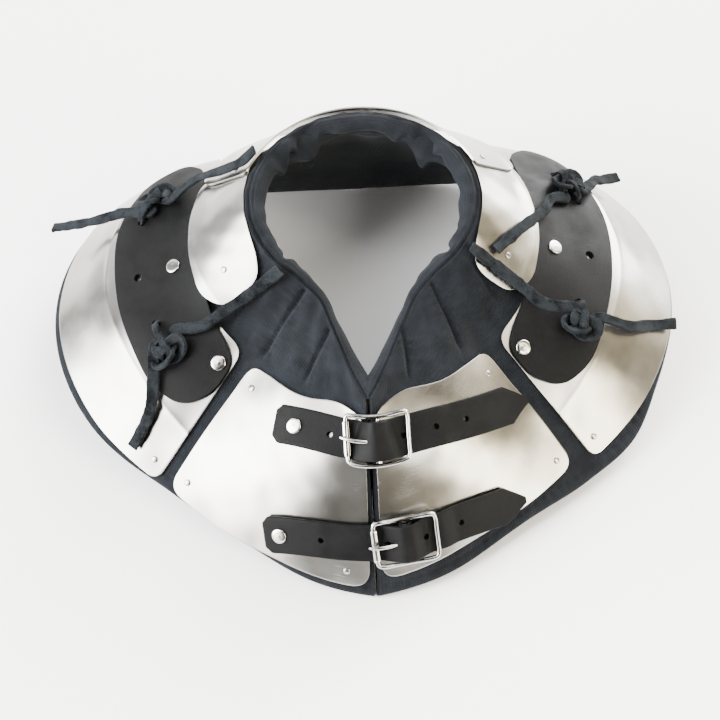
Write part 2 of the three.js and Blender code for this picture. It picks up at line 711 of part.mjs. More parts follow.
// A band of leather bent along a profile of [at, high] points beside a strap line.
function bandPiece(line, profile, thick, outline, holes) {
  const reach = [0];
  for (let k = 1; k < profile.length; k += 1) {
    reach.push(reach[k - 1] + Math.hypot(profile[k][0] - profile[k - 1][0], profile[k][1] - profile[k - 1][1]));
  }
  const total = reach[reach.length - 1];
  const normals = profile.map((p, k) => {
    const a = profile[Math.max(0, k - 1)];
    const c = profile[Math.min(profile.length - 1, k + 1)];
    const one = new THREE.Vector2(p[0] - a[0], p[1] - a[1]);
    const two = new THREE.Vector2(c[0] - p[0], c[1] - p[1]);
    if (one.length() === 0) one.copy(two);
    if (two.length() === 0) two.copy(one);
    one.normalize();
    two.normalize();
    const sum = one.clone().add(two).normalize();
    const stretch = 1 / Math.max(0.6, sum.dot(one));
    return [-sum.y * stretch, sum.x * stretch];
  });
  const half = strapWidth / 2;
  const sheet = flatSheet(reach, [-half - 1, half + 1], () => 0, () => thick);
  const unit = () => [1, 1];
  const solid = cutFlat(sheet, roundedOutline(outline(total), unit), holes(total), unit);
  return carry(solid, (u, v, h) => {
    let k = 0;
    while (k < reach.length - 2 && u > reach[k + 1]) k += 1;
    const s = (u - reach[k]) / (reach[k + 1] - reach[k]);
    const t = (v + half + 1) / (strapWidth + 2);
    const [v0, v1] = [-half - 1, half + 1];
    const [a, b, c, d] = [dome(reach[k], v0), dome(reach[k + 1], v0), dome(reach[k + 1], v1), dome(reach[k], v1)];
    const lift = t < s ? a * (1 - s) + b * (s - t) + c * t : a * (1 - t) + d * (t - s) + c * s;
    const out = h - lift;
    const at = profile[k][0] * (1 - s) + profile[k + 1][0] * s
      + out * (normals[k][0] * (1 - s) + normals[k + 1][0] * s);
    const high = profile[k][1] * (1 - s) + profile[k + 1][1] * s
      + out * (normals[k][1] * (1 - s) + normals[k + 1][1] * s);
    return onLine(line, at, high, v);
  });
}

// Heights in a buckle, above the strap's foot; each rests on what lies under it.
const barRadius = wire / 2;
const eyeInside = barRadius + eyeGap;
const eyeOutside = eyeInside + chapeThick;
const barHigh = eyeOutside;
const strapOverEye = barHigh + eyeOutside + layerGap;
const strapOverChape = chapeThick + layerGap;
const rollerHigh = strapThick + layerGap + rollerWidth / 2;
const keeperHigh = strapOverChape + strapThick + layerGap + barRadius;
const rollerAt = -buckleLength / 2;
const keeperAt = buckleLength / 2 - wire / 2;
const railDown = buckleInside / 2 + barRadius;

const lines = {};
const pinPlaces = {};
for (const [name, strap] of Object.entries(straps)) {
  const line = strapLine(strap.places);
  lines[name] = line;
  const rivetAt = line.find((p) => p.rivet).at;
  pinPlaces[name] = rivetAt;
  const bar = strap.bar;
  const end = line[line.length - 1].at * strap.tail;
  const start = line[0].at;

  // The long strap: flat, then under the roller, over the bar's eye, under the keeper.
  const keys = [
    [start, 0],
    [bar + rollerAt + 5, 0],
    [bar - 3.4, strapOverEye],
    [bar + 3.4, strapOverEye],
    [bar + 13, strapOverChape],
    [strap.chapeEnd + 3, strapOverChape],
    [strap.chapeEnd + 12, 0],
    [end, 0],
  ];
  const keyAts = keys.map((k) => k[0]);
  const ats = [...keyAts, ...line.map((p) => p.at).filter((at) => keyAts.every((k) => Math.abs(k - at) > 0.8))]
    .filter((at) => at >= start && at <= end)
    .sort((a, b) => a - b);
  const profile = ats.map((at) => {
    let k = 0;
    while (k < keys.length - 2 && at > keys[k + 1][0]) k += 1;
    const s = (at - keys[k][0]) / (keys[k + 1][0] - keys[k][0]);
    return [at, keys[k][1] * (1 - s) + keys[k + 1][1] * s];
  });
  const half = strapWidth / 2;
  const pointed = (total) => [
    { u: 0, v: -half, round: 7 },
    { u: 0, v: half, round: 7 },
    { u: total - strapWidth * 0.62, v: half },
    { u: total, v: strapWidth * 0.08, round: 3 },
    { u: total, v: -strapWidth * 0.08, round: 3 },
    { u: total - strapWidth * 0.62, v: -half },
  ];
  const along = (at) => {
    let sum = 0;
    for (let k = 1; k < profile.length && profile[k - 1][0] < at; k += 1) {
      const part = Math.min(1, (at - profile[k - 1][0]) / (profile[k][0] - profile[k - 1][0]));
      sum += part * Math.hypot(profile[k][0] - profile[k - 1][0], profile[k][1] - profile[k - 1][1]);
    }
    return sum;
  };
  const prongAt = bar - eyeOutside - 3;
  const strapHoles = () => [
    { u: along(rivetAt), v: 0, across: bigRivetPin + 2 * pinGap, sides: 8 },
    { u: along(prongAt), v: 0, along: prongWire * 3.1, across: prongWire * 1.7, sides: 8 },
    ...strap.holes.map((at) => ({ u: along(at), v: 0, across: strapHole, sides: 6 })),
  ];
  add(`strap_${name}`, bandPiece(line, profile, strapThick, pointed, strapHoles), leather);

  // The chape: a short strap that ends in an eye round the buckle's bar.
  const eyeSteps = 8;
  const chapeProfile = [[strap.chapeEnd, 0]];
  line.filter((p) => p.at < strap.chapeEnd - 1 && p.at > bar + 1).reverse().forEach((p) => chapeProfile.push([p.at, 0]));
  for (let k = 0; k <= eyeSteps; k += 1) {
    const angle = -Math.PI / 2 - k / eyeSteps * 1.5 * Math.PI;
    chapeProfile.push([bar + eyeOutside * Math.cos(angle), barHigh + eyeOutside * Math.sin(angle)]);
  }
  const slot = prongWire + 2 * pinGap + 1;
  const eyeLength = eyeOutside * 1.5 * Math.PI;
  const chapeOutline = (total) => [
    { u: 0, v: -half, round: 5 },
    { u: 0, v: half, round: 5 },
    { u: total, v: half },
    { u: total, v: slot / 2 },
    { u: total - eyeLength - slot, v: slot / 2 },
    { u: total - eyeLength - slot, v: -slot / 2 },
    { u: total, v: -slot / 2 },
    { u: total, v: -half },
  ];
  add(`chape_${name}`, bandPiece(line, chapeProfile, -chapeThick, chapeOutline, () => []), leather);

  // The buckle: a wire frame bent at the bar, its roller, and its prong.
  const spot = (at, high, down) => onLine(line, bar + at, high, down);
  const cornerCut = 4;
  const half1 = railDown - cornerCut;
  const frameLoop = [];
  for (const hand of [1, -1]) {
    frameLoop.push(
      spot(rollerAt, rollerHigh, hand * half1),
      spot(rollerAt + cornerCut * 0.3, rollerHigh, hand * (railDown - cornerCut * 0.3)),
      spot(rollerAt + cornerCut, rollerHigh, hand * railDown),
      ...(bar > 0 && bar < -rollerAt - cornerCut - wire ? [spot(-bar, barHigh + 0.5, hand * railDown)] : []),
      spot(0, barHigh, hand * railDown),
      spot(keeperAt - cornerCut, keeperHigh - 0.4, hand * railDown),
      spot(keeperAt - cornerCut * 0.3, keeperHigh, hand * (railDown - cornerCut * 0.3)),
      spot(keeperAt, keeperHigh, hand * half1),
    );
  }
  const halfLoop = frameLoop.length / 2;
  const loop = [...frameLoop.slice(0, halfLoop), ...frameLoop.slice(halfLoop).reverse()];
  const frame = toManifold(rod(loop, barRadius, 6, true))
    .add(toManifold(rod([spot(0, barHigh, -railDown), spot(0, barHigh, railDown)], barRadius, 6)));
  add(`buckle_frame_${name}`, fromManifold(frame), nickel);

  const rollerHalf = half1 - 0.6;
  const bore = barRadius + pinGap;
  const rollerProfile = [
    new THREE.Vector2(bore, -rollerHalf),
    new THREE.Vector2(rollerWidth / 2, -rollerHalf),
    new THREE.Vector2(rollerWidth / 2, rollerHalf),
    new THREE.Vector2(bore, rollerHalf),
    new THREE.Vector2(bore, -rollerHalf),
  ];
  const roller = new THREE.LatheGeometry(rollerProfile, 10);
  const low = spot(rollerAt, rollerHigh, railDown);
  const high = spot(rollerAt, rollerHigh, -railDown);
  const axis = high.clone().sub(low).normalize();
  roller.applyQuaternion(new THREE.Quaternion().setFromUnitVectors(new THREE.Vector3(0, 1, 0), axis));
  roller.translate(...low.clone().lerp(high, 0.5).toArray());
  add(`buckle_roller_${name}`, fromManifold(toManifold(roller)), nickel);

  const eyeRadius = barRadius + eyeGap + 0.9;
  const eye = Array.from({ length: 10 }, (_, k) => {
    const angle = k * Math.PI / 5;
    return spot(eyeRadius * Math.cos(angle), barHigh + eyeRadius * Math.sin(angle), 0);
  });
  const prongOver = rollerHigh + rollerWidth / 2 + pinGap + prongWire / 2;
  const prong = toManifold(rod(eye, 0.9, 5, true)).add(toManifold(rod([
    spot(-eyeRadius, barHigh + 0.6, 0),
    spot(-eyeOutside - 2, barHigh + 2.6, 0),
    spot(-eyeOutside - 8.5, prongOver - 0.6, 0),
    spot(rollerAt, prongOver, 0),
    spot(rollerAt - 3.5, prongOver - 0.4, 0),
  ], prongWire / 2, 6)));
  add(`buckle_prong_${name}`, fromManifold(prong), nickel);
}

// ---- Rivets ------------------------------------------------------------------
// A flat or domed head on a pin that goes down to the cloth.
function rivet(place, way, head, rise, pin, pinLength, sides) {
  const profile = [
    new THREE.Vector2(0, -pinLength),
    new THREE.Vector2(pin / 2, -pinLength),
    new THREE.Vector2(pin / 2, 0),
    new THREE.Vector2(head / 2, 0),
    new THREE.Vector2(head / 2 - rise * 0.5, rise),
    new THREE.Vector2(0, rise),
  ];
  const geometry = new THREE.LatheGeometry(profile, sides);
  geometry.applyQuaternion(new THREE.Quaternion().setFromUnitVectors(new THREE.Vector3(0, 1, 0), way));
  geometry.translate(...place.toArray());
  return fromManifold(toManifold(geometry));
}
const clothGap = 0.2;
function bigRivetOn(name, turn, share, out) {
  const way = outward(turn, share);
  add(name, rivet(bend(turn, share, out + pinGap), way, bigRivet, bigRivetHead, bigRivetPin, out + pinGap - clothGap, 10), nickel);
}
for (const [name, line] of Object.entries(lines)) {
  const station = line.find((p) => p.rivet);
  const head = onLine(line, station.at, strapThick + pinGap, 0);
  const pinLength = strapThick + pinGap + strapFoot - clothGap;
  add(`rivet_strap_${name}`, rivet(head, station.out, bigRivet, bigRivetHead, bigRivetPin, pinLength, 10), nickel);
}
for (const side of ['left', 'right']) {
  const put = (rows) => (side === 'left' ? rows : mirrored(rows));
  put(patchRivets).forEach((row, k) => {
    bigRivetOn(`rivet_patch_${side}_${k + 1}`, row.turn, row.share, patchTop);
  });
  const small = [
    ['chest', side === 'left' ? smallRivets.chest : mirrored(drawnIn(smallRivets.chest)), () => plateFoot],
    ['shoulder', put(smallRivets.shoulder), () => plateFoot],
    ['collar', put(smallRivets.collar), collarLow],
    ['collar_back', put(smallRivets.collarBack), collarBackLow],
  ];
  for (const [where, rows, low] of small) {
    rows.forEach((row, k) => {
      const out = low(row.turn, row.share) + plateThick + pinGap;
      const name = rows.length > 1 ? `rivet_${where}_${side}_${k + 1}` : `rivet_${where}_${side}`;
      const place = bend(row.turn, row.share, out);
      add(name, rivet(place, outward(row.turn, row.share), smallRivet, smallRivetHead, smallRivetPin, out - clothGap, 6), steel);
    });
  }
}

// ---- Laces -------------------------------------------------------------------
// A thong is tied through each pair of patch holes: an overhand knot and two free ends.
const laceOut = patchTop + layerGap + thong / 2;
const knots = {
  left_back: { turn: 110, share: 0.53, roll: -1.4 },
  left_front: { turn: 63.5, share: 0.575, roll: 1.9 },
  right_back: { turn: 252, share: 0.56, roll: -1.2 },
  right_front: { turn: 294, share: 0.6, roll: 1.3 },
};
function knotPath(row, from, to, steps) {
  const way = outward(row.turn, row.share);
  const centre = bend(row.turn, row.share, patchTop + thong * 1.14);
  const across = new THREE.Vector3(0, 1, 0).cross(way).normalize();
  const over = way.clone().cross(across);
  return Array.from({ length: steps + 1 }, (_, k) => {
    const t = from + (to - from) * k / steps;
    const radius = knotRadius / 3 * (2 + Math.cos(3 * t));
    const angle = 2 * t + row.roll;
    return centre.clone()
      .addScaledVector(across, radius * Math.cos(angle))
      .addScaledVector(over, radius * Math.sin(angle))
      .addScaledVector(way, thong * 0.57 * Math.sin(3 * t));
  });
}
const knotPaths = {};
for (const [name, row] of Object.entries(knots)) {
  knotPaths[name] = knotPath(row, 0.35, 2 * Math.PI - 0.35, 15);
  add(`lace_knot_${name}`, rod(knotPaths[name], thong / 2, 6), suede);
}
// Each free end, as places from the knot out to its tip.
const laceEnds = {
  left_back_inner: [[115.5, 0.36, 12.4], [116.5, 0.29, 12.6], [117.5, 0.15, 10.2], [120, 0.02, 8.6], [123, -0.05, 9.5]],
  left_back_outer: [[108.6, 0.7, 9.2], [108.8, 0.8, 8], [112, 0.97, 10], [117, 1.18, 22]],
  left_front_inner: [[63, 0.4, 9.5], [62.6, 0.31, 9], [61.5, 0.2, 6], [60.2, 0.09, 4], [59, 0, 8]],
  left_front_outer: [[57.5, 0.75, 8.4], [56, 0.83, 6], [55.3, 0.92, 5.5]],
  right_back_inner: [[257.5, 0.42, 10], [262, 0.36, 10.6], [272, 0.21, 9.8], [286, 0.12, 7.6]],
  right_back_outer: [[247.5, 0.76, 8], [245, 0.88, 6.5], [243, 0.95, 6.5]],
  right_front_inner: [[294.2, 0.42, 10.4], [293.5, 0.34, 11], [292.5, 0.22, 10], [291.5, 0.1, 7.2], [291, 0.01, 8]],
  right_front_outer: [[287, 0.78, 8], [283.5, 0.87, 6], [280.5, 0.97, 8]],
};
const laceGap = 0.5;
for (const [name, rows] of Object.entries(laceEnds)) {
  // Each end carries on from the knot's nearer end.
  const path = knotPaths[name.replace(/_(inner|outer)$/, '')];
  const places = rows.map(([turn, share, out]) => bend(turn, share, out));
  const ends = [[path[0], path[1]], [path[path.length - 1], path[path.length - 2]]];
  ends.sort((a, b) => a[0].distanceTo(places[0]) - b[0].distanceTo(places[0]));
  const [end, before] = ends[0];
  const along = end.clone().sub(before).normalize();
  const first = end.clone().addScaledVector(along, laceGap);
  const reach = 4.2 * thong;
  const onward = places[1].clone().sub(first).normalize();
  const turn = new THREE.CubicBezierCurve3(
    first,
    first.clone().addScaledVector(along, reach),
    places[0].clone().addScaledVector(onward, -reach),
    places[0],
  );
  const curve = new THREE.CatmullRomCurve3([...turn.getPoints(5), ...places.slice(1)], false, 'centripetal');
  const length = curve.getLength();
  // Close stations round the turn out of the knot, wide ones after it.
  const turnOut = [0, 1, 2, 3, 4, 5.4].map((step) => step * thong);
  const rest = Math.max(1, Math.round((length - 5.4 * thong) / (4 * thong)));
  for (let k = 1; k <= rest; k += 1) turnOut.push(5.4 * thong + (length - 5.4 * thong) * k / rest);
  const points = turnOut.map((at) => curve.getPointAt(Math.min(1, at / length)));
  add(`lace_${name}`, rod(points, thong / 2, 6), suede);
}

// ---- Standing on the surface, centred ------------------------------------------
gorget.updateMatrixWorld(true);
const box = new THREE.Box3();
for (const mesh of gorget.children) {
  if (!mesh.name.startsWith('lace')) box.expandByObject(mesh);
}
const middle = box.getCenter(new THREE.Vector3());
gorget.position.set(-middle.x, -middle.y, -trim.level);

export default gorget;
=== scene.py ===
# %% [markdown]
# # Dressing a steel gorget
# A gorget is neck armour: steel plates riveted over a quilted cloth collar and cape.
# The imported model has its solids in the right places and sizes. This lesson keeps those
# places and makes each surface look like the real one: steel, cloth, leather and suede.

import math

import bpy
import numpy as np
from mathutils import Matrix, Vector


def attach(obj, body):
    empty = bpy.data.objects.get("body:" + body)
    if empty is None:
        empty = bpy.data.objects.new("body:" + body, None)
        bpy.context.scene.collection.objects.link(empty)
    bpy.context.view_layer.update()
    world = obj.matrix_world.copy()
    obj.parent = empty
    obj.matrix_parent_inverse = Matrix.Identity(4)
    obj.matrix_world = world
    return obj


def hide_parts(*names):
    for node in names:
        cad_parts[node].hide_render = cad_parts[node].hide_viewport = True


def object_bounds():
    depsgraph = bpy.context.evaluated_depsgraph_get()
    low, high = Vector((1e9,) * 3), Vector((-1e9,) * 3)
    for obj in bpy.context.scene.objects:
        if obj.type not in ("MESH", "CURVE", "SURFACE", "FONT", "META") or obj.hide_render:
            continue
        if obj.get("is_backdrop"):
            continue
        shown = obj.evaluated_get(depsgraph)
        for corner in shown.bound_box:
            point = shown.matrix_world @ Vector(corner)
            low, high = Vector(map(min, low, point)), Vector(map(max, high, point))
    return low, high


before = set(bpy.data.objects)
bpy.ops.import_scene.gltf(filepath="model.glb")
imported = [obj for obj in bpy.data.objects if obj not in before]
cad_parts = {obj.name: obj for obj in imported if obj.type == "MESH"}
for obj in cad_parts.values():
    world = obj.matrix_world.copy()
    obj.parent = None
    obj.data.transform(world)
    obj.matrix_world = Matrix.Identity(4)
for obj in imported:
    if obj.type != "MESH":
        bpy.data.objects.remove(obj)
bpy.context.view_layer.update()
MM = 0.001

# %% [markdown]
# ## The camera
# The picture was taken from above the front. A camera is placed by an elevation, an
# azimuth and a distance round a target, which is easier to reason about than a matrix.

# %% Camera
def add_object(name, data, axes=None, at=None):
    """A new object in the scene; axes are the columns of its turn, at is in metres."""
    made = bpy.data.objects.new(name, data)
    bpy.context.scene.collection.objects.link(made)
    if axes is not None:
        pose = np.eye(4)
        pose[:3, :3], pose[:3, 3] = axes, at
        made.matrix_world = Matrix(pose.tolist())
    return made


ELEVATION, AZIMUTH, DISTANCE = math.radians(57), math.radians(-3.5), 1700.0
cam_back = np.array([math.sin(AZIMUTH) * math.cos(ELEVATION),
                     -math.cos(AZIMUTH) * math.cos(ELEVATION), math.sin(ELEVATION)])
cam_right = np.array([math.cos(AZIMUTH), math.sin(AZIMUTH), 0.0])
cam_up = np.cross(cam_back, cam_right)
# mm: the middle of the gorget, and how far left of it and above it the camera aims
MIDDLE, AIM_LEFT, AIM_UP = np.array([-2.0, -4.3, 3.64]), 5.4, 13.5
target = -AIM_LEFT * cam_right + AIM_UP * cam_up + MIDDLE
camera_at = (target + cam_back * DISTANCE) * MM
camera = add_object("camera", bpy.data.cameras.new("camera"),
                    np.stack([cam_right, cam_up, cam_back], axis=1), camera_at)
camera.data.sensor_width = 36
camera.data.lens = 125.8
camera.data.clip_end = 20
bpy.context.scene.camera = camera
print("camera", camera_at.round(3))

# %% [markdown]
# ## One curved form under every layer
# Cloth, plates, patches and straps all lie on the same cape-shaped form. A place on it is
# a turn round the neck (0 at the closure, 90 left, 180 back) and a share of the way from
# the rim (0) to the hem (1). One function of those two numbers serves every piece.

# %% The form of the cape
# mm: the height, then the radius at the rim, the collar's foot, the bend and the hem
HEIGHT, RIM, COLLAR, CREST, CAPE = 134.0, 74.0, 112.0, 170.0, 208.0
FOOT_SHARE, CREST_SHARE, BEND_SHARE = 0.34, 0.7, 0.12
# degrees round the closure in which the front edges stand out, and mm that they lie left
CLOSURE_SPAN, CLOSURE_LEFT = 35, 5
# about how many mm a degree of turn and the whole share cover
TURN_MM, SHARE_MM = 2.6, 190
# mm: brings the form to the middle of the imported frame
SHIFT = np.array([-2.009, -0.291, 3.640])
# turn, then radius and height (shares of the sizes above) at the rim, the collar's foot,
# the bend of the shoulder and the hem
RINGS = np.array([
    [0, 1.676, 0.724, 1.375, 0.56, 1.088, 0.321, 1.019, 0.015],
    [10, 1.23, 0.746, 1.313, 0.567, 1.059, 0.336, 1.0, 0.03],
    [25, 0.892, 0.776, 1.179, 0.575, 0.988, 0.358, 0.952, 0.052],
    [45, 0.797, 0.813, 0.929, 0.582, 0.912, 0.381, 0.938, 0.097],
    [65, 0.892, 0.873, 0.946, 0.634, 0.959, 0.455, 0.986, 0.164],
    [90, 1.0, 0.933, 1.0, 0.657, 1.0, 0.463, 1.0, 0.209],
    [120, 1.054, 0.963, 0.973, 0.672, 0.918, 0.47, 0.899, 0.149],
    [150, 1.041, 0.985, 0.875, 0.657, 0.741, 0.373, 0.683, 0.022],
    [180, 1.014, 1.0, 0.821, 0.642, 0.647, 0.336, 0.596, 0.012],
])
NECK_Y = (RINGS[0, 7] - RINGS[-1, 7]) * CAPE / 2


def half_turn(turn):
    """Degrees from the closure, counted alike on the left and on the right."""
    return np.where(turn <= 180, turn, 360 - turn)


def on_side(side, rows, change=None):
    """A table that starts with a turn: as it is for the left; for the right it is
    changed, where a change is given, and its turns are counted the other way."""
    if side == "left":
        return rows
    return [(360 - row[0], *row[1:]) for row in (change(rows) if change else rows)]


def curve_through(knots, rows, at, level_end=False):
    """A smooth curve through rows: between two rows a cubic with the slope at each row
    the mean of its two chords, each weighted by the other's length."""
    knots, rows, at = np.asarray(knots, float), np.asarray(rows, float), np.asarray(at, float)
    chord = (rows[1:] - rows[:-1]) / np.diff(knots)[:, None]
    slope = np.zeros_like(rows)
    before, after = np.diff(knots)[:-1, None], np.diff(knots)[1:, None]
    slope[1:-1] = (chord[:-1] * after + chord[1:] * before) / (before + after)
    slope[0] = 1.5 * chord[0] - 0.5 * slope[1]
    slope[-1] = 0 if level_end else 1.5 * chord[-1] - 0.5 * slope[-2]
    i = np.clip(np.searchsorted(knots, at, side="left") - 1, 0, len(knots) - 2)
    step = (knots[i + 1] - knots[i])[..., None]
    s = (at[..., None] - knots[i][..., None]) / step
    return ((2 * s**3 - 3 * s**2 + 1) * rows[i] + (s**3 - 2 * s**2 + s) * step * slope[i]
            + (3 * s**2 - 2 * s**3) * rows[i + 1] + (s**3 - s**2) * step * slope[i + 1])


def rounded_ramp(x):
    """0 before the bend, x after it, and a parabola across it."""
    b = BEND_SHARE
    return np.where(x > b, x, np.where(x < -b, 0.0, (x + b) ** 2 / (4 * b)))


def three_slopes(share, rim, foot, crest, hem):
    """From the rim down to the hem in three straight stretches, collar, shoulder and
    flange: at each bend the change of slope times a rounded ramp is added."""
    collar = (foot - rim) / FOOT_SHARE
    shoulder = (crest - foot) / (CREST_SHARE - FOOT_SHARE)
    flange = (hem - crest) / (1 - CREST_SHARE)
    return (rim + collar * share + (shoulder - collar) * rounded_ramp(share - FOOT_SHARE)
            + (flange - shoulder) * rounded_ramp(share - CREST_SHARE))


def cloth_face(turn, share):
    """The outer face of the cloth, from the radius and the height in each direction."""
    turn, share = np.broadcast_arrays(np.asarray(turn, float), np.asarray(share, float))
    half = half_turn(turn)
    r = curve_through(RINGS[:, 0], RINGS[:, 1:], half, level_end=True)
    radius = three_slopes(share, r[..., 0] * RIM, r[..., 2] * COLLAR, r[..., 4] * CREST, r[..., 6] * CAPE)
    rise = three_slopes(share, *(r[..., k] * HEIGHT for k in (1, 3, 5, 7)))
    angle = np.radians(half)
    # near the closure each front edge stands 1 mm out, and both lie a little to the left
    near = np.clip((CLOSURE_SPAN - half) / CLOSURE_SPAN, 0, 1) ** 1.5
    x = np.where(turn <= 180, -1.0, 1.0) * (radius * np.sin(angle) + near) - CLOSURE_LEFT * near
    return np.stack([x, NECK_Y - radius * np.cos(angle), rise], -1) + SHIFT


def unit(v):
    """v made one long."""
    return v / np.maximum(np.linalg.norm(v, axis=-1, keepdims=True), 1e-12)


def dot(a, b):
    return np.sum(a * b, -1, keepdims=True)


def square_to(v, along):
    """The part of v that is square to the unit direction along, made one long."""
    return unit(v - dot(v, along) * along)


def outward(turn, share):
    """The way out of the cloth: the cross product of its two directions."""
    turn = np.asarray(turn, float)
    low, high = np.maximum(turn - 0.5, 0), np.minimum(turn + 0.5, 360)
    around = cloth_face(high, share) - cloth_face(low, share)
    down = cloth_face(turn, np.asarray(share) + 0.004) - cloth_face(turn, np.asarray(share) - 0.004)
    return unit(np.cross(around, down))


def cape(turn, share, out=0.0):
    """A point out mm above the cloth, in mm."""
    return cloth_face(turn, share) + outward(turn, share) * np.asarray(out, float)[..., None]


print("rim at the back is", cape(180, 0).round(1), "mm")

# %% [markdown]
# ## From arrays to meshes
# Every piece is a grid of points worked out at once. The helpers below turn a grid into
# a closed mesh, give it a map in millimetres for its weave or grain, and hand it to the
# body that it rides on.

# %% Mesh helpers
PIECES, SHARP = {}, math.radians(40)
STEEL, NICKEL, LEATHER = "brushed_steel", "nickel_fittings", "black_leather"
SUEDE, CLOTH = "suede_lace", "padding_cloth"


def quads(rows, cols, wrap_rows=False, wrap_cols=False):
    """Corner numbers of the quads of a grid whose points are numbered row by row."""
    i, j = np.meshgrid(np.arange(rows if wrap_rows else rows - 1),
                       np.arange(cols if wrap_cols else cols - 1), indexing="ij")
    i2, j2 = (i + 1) % rows, (j + 1) % cols
    return np.stack([i * cols + j, i2 * cols + j, i2 * cols + j2, i * cols + j2], -1).reshape(-1, 4)


def signed_volume(points, faces):
    """Six times the volume that the faces close, below 0 where they point inwards: the
    sum of the triple products of each face's triangles."""
    return sum(np.einsum("ij,ij->", points[f[:, 0]], np.cross(points[f[:, k]], points[f[:, k + 1]]))
               for f in faces for k in range(1, f.shape[1] - 1))


def put_mesh(name, points, faces, uv=None):
    """Makes the object; faces point outwards where they close a volume."""
    points = np.asarray(points, float).reshape(-1, 3)
    faces = [np.asarray(f) for f in faces]
    if signed_volume(points, faces) < 0:
        faces = [f[:, ::-1] for f in faces]
    mesh = bpy.data.meshes.new(name)
    mesh.from_pydata((points * MM).tolist(), [], [row for f in faces for row in f.tolist()])
    if uv is not None:
        layer = mesh.uv_layers.new(name="flat")
        corner = np.empty(len(mesh.loops), dtype=np.int32)
        mesh.loops.foreach_get("vertex_index", corner)
        layer.data.foreach_set("uv", (np.asarray(uv, float).reshape(-1, 2)[corner] * MM).ravel())
    mesh.shade_smooth()
    return add_object(name, mesh)


def joined_tubes(name, parts, uv=None):
    """Several tubes as one mesh. A part is (rings of points carried along a line, whether
    they join round); an open one is closed at both ends."""
    points, faces, base = [], [], 0
    for rings, joined in parts:
        n, k = rings.shape[:2]
        part = [quads(n, k, wrap_rows=joined, wrap_cols=True)]
        if not joined:
            part += [np.arange(k)[None, ::-1], (np.arange(k) + (n - 1) * k)[None, :]]
        flat = rings.reshape(-1, 3)
        outwards = signed_volume(flat - flat.mean(0), part) > 0
        faces += [(f if outwards else f[:, ::-1]) + base for f in part]
        points.append(flat)
        base += len(flat)
    return put_mesh(name, np.concatenate(points), faces, uv)


def tube(name, rings, uv=None):
    """One tube, closed at both ends."""
    return joined_tubes(name, [(rings, False)], uv)


def lengths(path):
    """Distance along a path to each of its points."""
    return np.concatenate([[0], np.cumsum(np.linalg.norm(np.diff(path, axis=0), axis=1))])


def at_places(want, at, rows):
    """Rows known at the places at, read off at the wanted places, column by column."""
    return np.stack([np.interp(want, at, rows[:, c]) for c in range(rows.shape[1])], -1)


def evenly(path, step):
    """The same smooth path with points about step apart."""
    at = lengths(path)
    count = max(4, int(round(at[-1] / step)))
    return curve_through(at, path, np.linspace(0, at[-1], count + 1))


def sweep(path, section, out, joined=False):
    """A section of (across, up) offsets carried along a path. Up is the given out way
    with the part along the path taken away, and across is square to both. Where the
    section is an array for each point, the piece swells or narrows."""
    step = np.roll(path, -1, 0) - np.roll(path, 1, 0) if joined else np.gradient(path, axis=0)
    along = unit(step)
    up = square_to(out, along)
    across = np.cross(along, up)
    section = np.broadcast_to(section, (len(path),) + np.shape(section)[-2:])
    return path[:, None] + across[:, None] * section[..., 0:1] + up[:, None] * section[..., 1:2]


def round_section(radius, sides):
    a = np.arange(sides) * 2 * math.pi / sides
    return np.stack([radius * np.cos(a), radius * np.sin(a)], -1)


def band_section(width, thick, corner, tops):
    """A flat band's outline: two long faces joined by rounded edges."""
    a = np.linspace(-math.pi / 2, math.pi / 2, 7)
    w, t = width / 2 - corner, thick / 2 - corner
    right = np.stack([w + corner * np.cos(a), np.sign(a) * t + corner * np.sin(a)], -1)
    top = np.stack([np.linspace(w, -w, tops + 2)[1:-1], np.full(tops, thick / 2)], -1)
    return np.concatenate([right, top, -right, -top])


def turned(name, places, ways, profile, sides, guide):
    """A profile of (radius, height), turned round the way out of every place, as one
    mesh. The guide only sets where each circle starts."""
    places, ways = np.asarray(places)[:, None, None], np.asarray(ways)[:, None, None]
    side = unit(np.cross(ways, guide))
    radius, height = np.array(profile, float).T[..., None, None]
    circle = round_section(1.0, sides)
    disc = side * circle[:, :1] + np.cross(ways, side) * circle[:, 1:]
    return joined_tubes(name, [(rings, False) for rings in places + ways * height + disc * radius])


def bake(piece, *modifiers):
    """Adds the modifiers, keeps their result as the mesh, and marks sharp edges."""
    for kind, settings in modifiers:
        m = piece.modifiers.new(kind.lower(), kind)
        for key, value in settings.items():
            setattr(m, key, value)
    bpy.context.view_layer.update()
    graph = bpy.context.evaluated_depsgraph_get()
    mesh = bpy.data.meshes.new_from_object(piece.evaluated_get(graph))
    piece.modifiers.clear()
    piece.data = mesh
    mesh.shade_smooth()
    mesh.set_sharp_from_angle(angle=SHARP)
    return piece


def settle(piece, slot, *nodes):
    """The piece rides on the gorget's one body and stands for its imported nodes."""
    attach(piece, "root")
    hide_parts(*nodes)
    PIECES.setdefault(slot, []).append(piece)
    print(f"{piece.name}: {len(piece.data.vertices)} points")
    return piece


# %% [markdown]
# ## The tied laces
# A suede thong goes through each pair of holes and is tied on the patch. The curl of the
# knot is a trefoil line, three loops whose crossings pass over and under, and each free
# end turns out of it and lies along the plates. The ends are flat strips, about as thick
# as a coin, so they are swept with a flat section.

# %% Lace paths
# mm above the cloth: the foot of the plates, and the foot and top of the patches
PLATE_FOOT, PLATE_THICK, PATCH_FOOT, PATCH_TOP = 0.4, 1.5, 2.3, 5.1
THONG, KNOT_RADIUS, KNOT_RISE, KNOT_PULL = 5.0, 8.6, 0.56, 0.45
# width and thickness of the free ends, the knots and the strips into the holes
LACE, KNOT_STRIP, HOLE_STRIP = (7.4, 2.3), (6.6, 2.5), (5.6, 2.1)
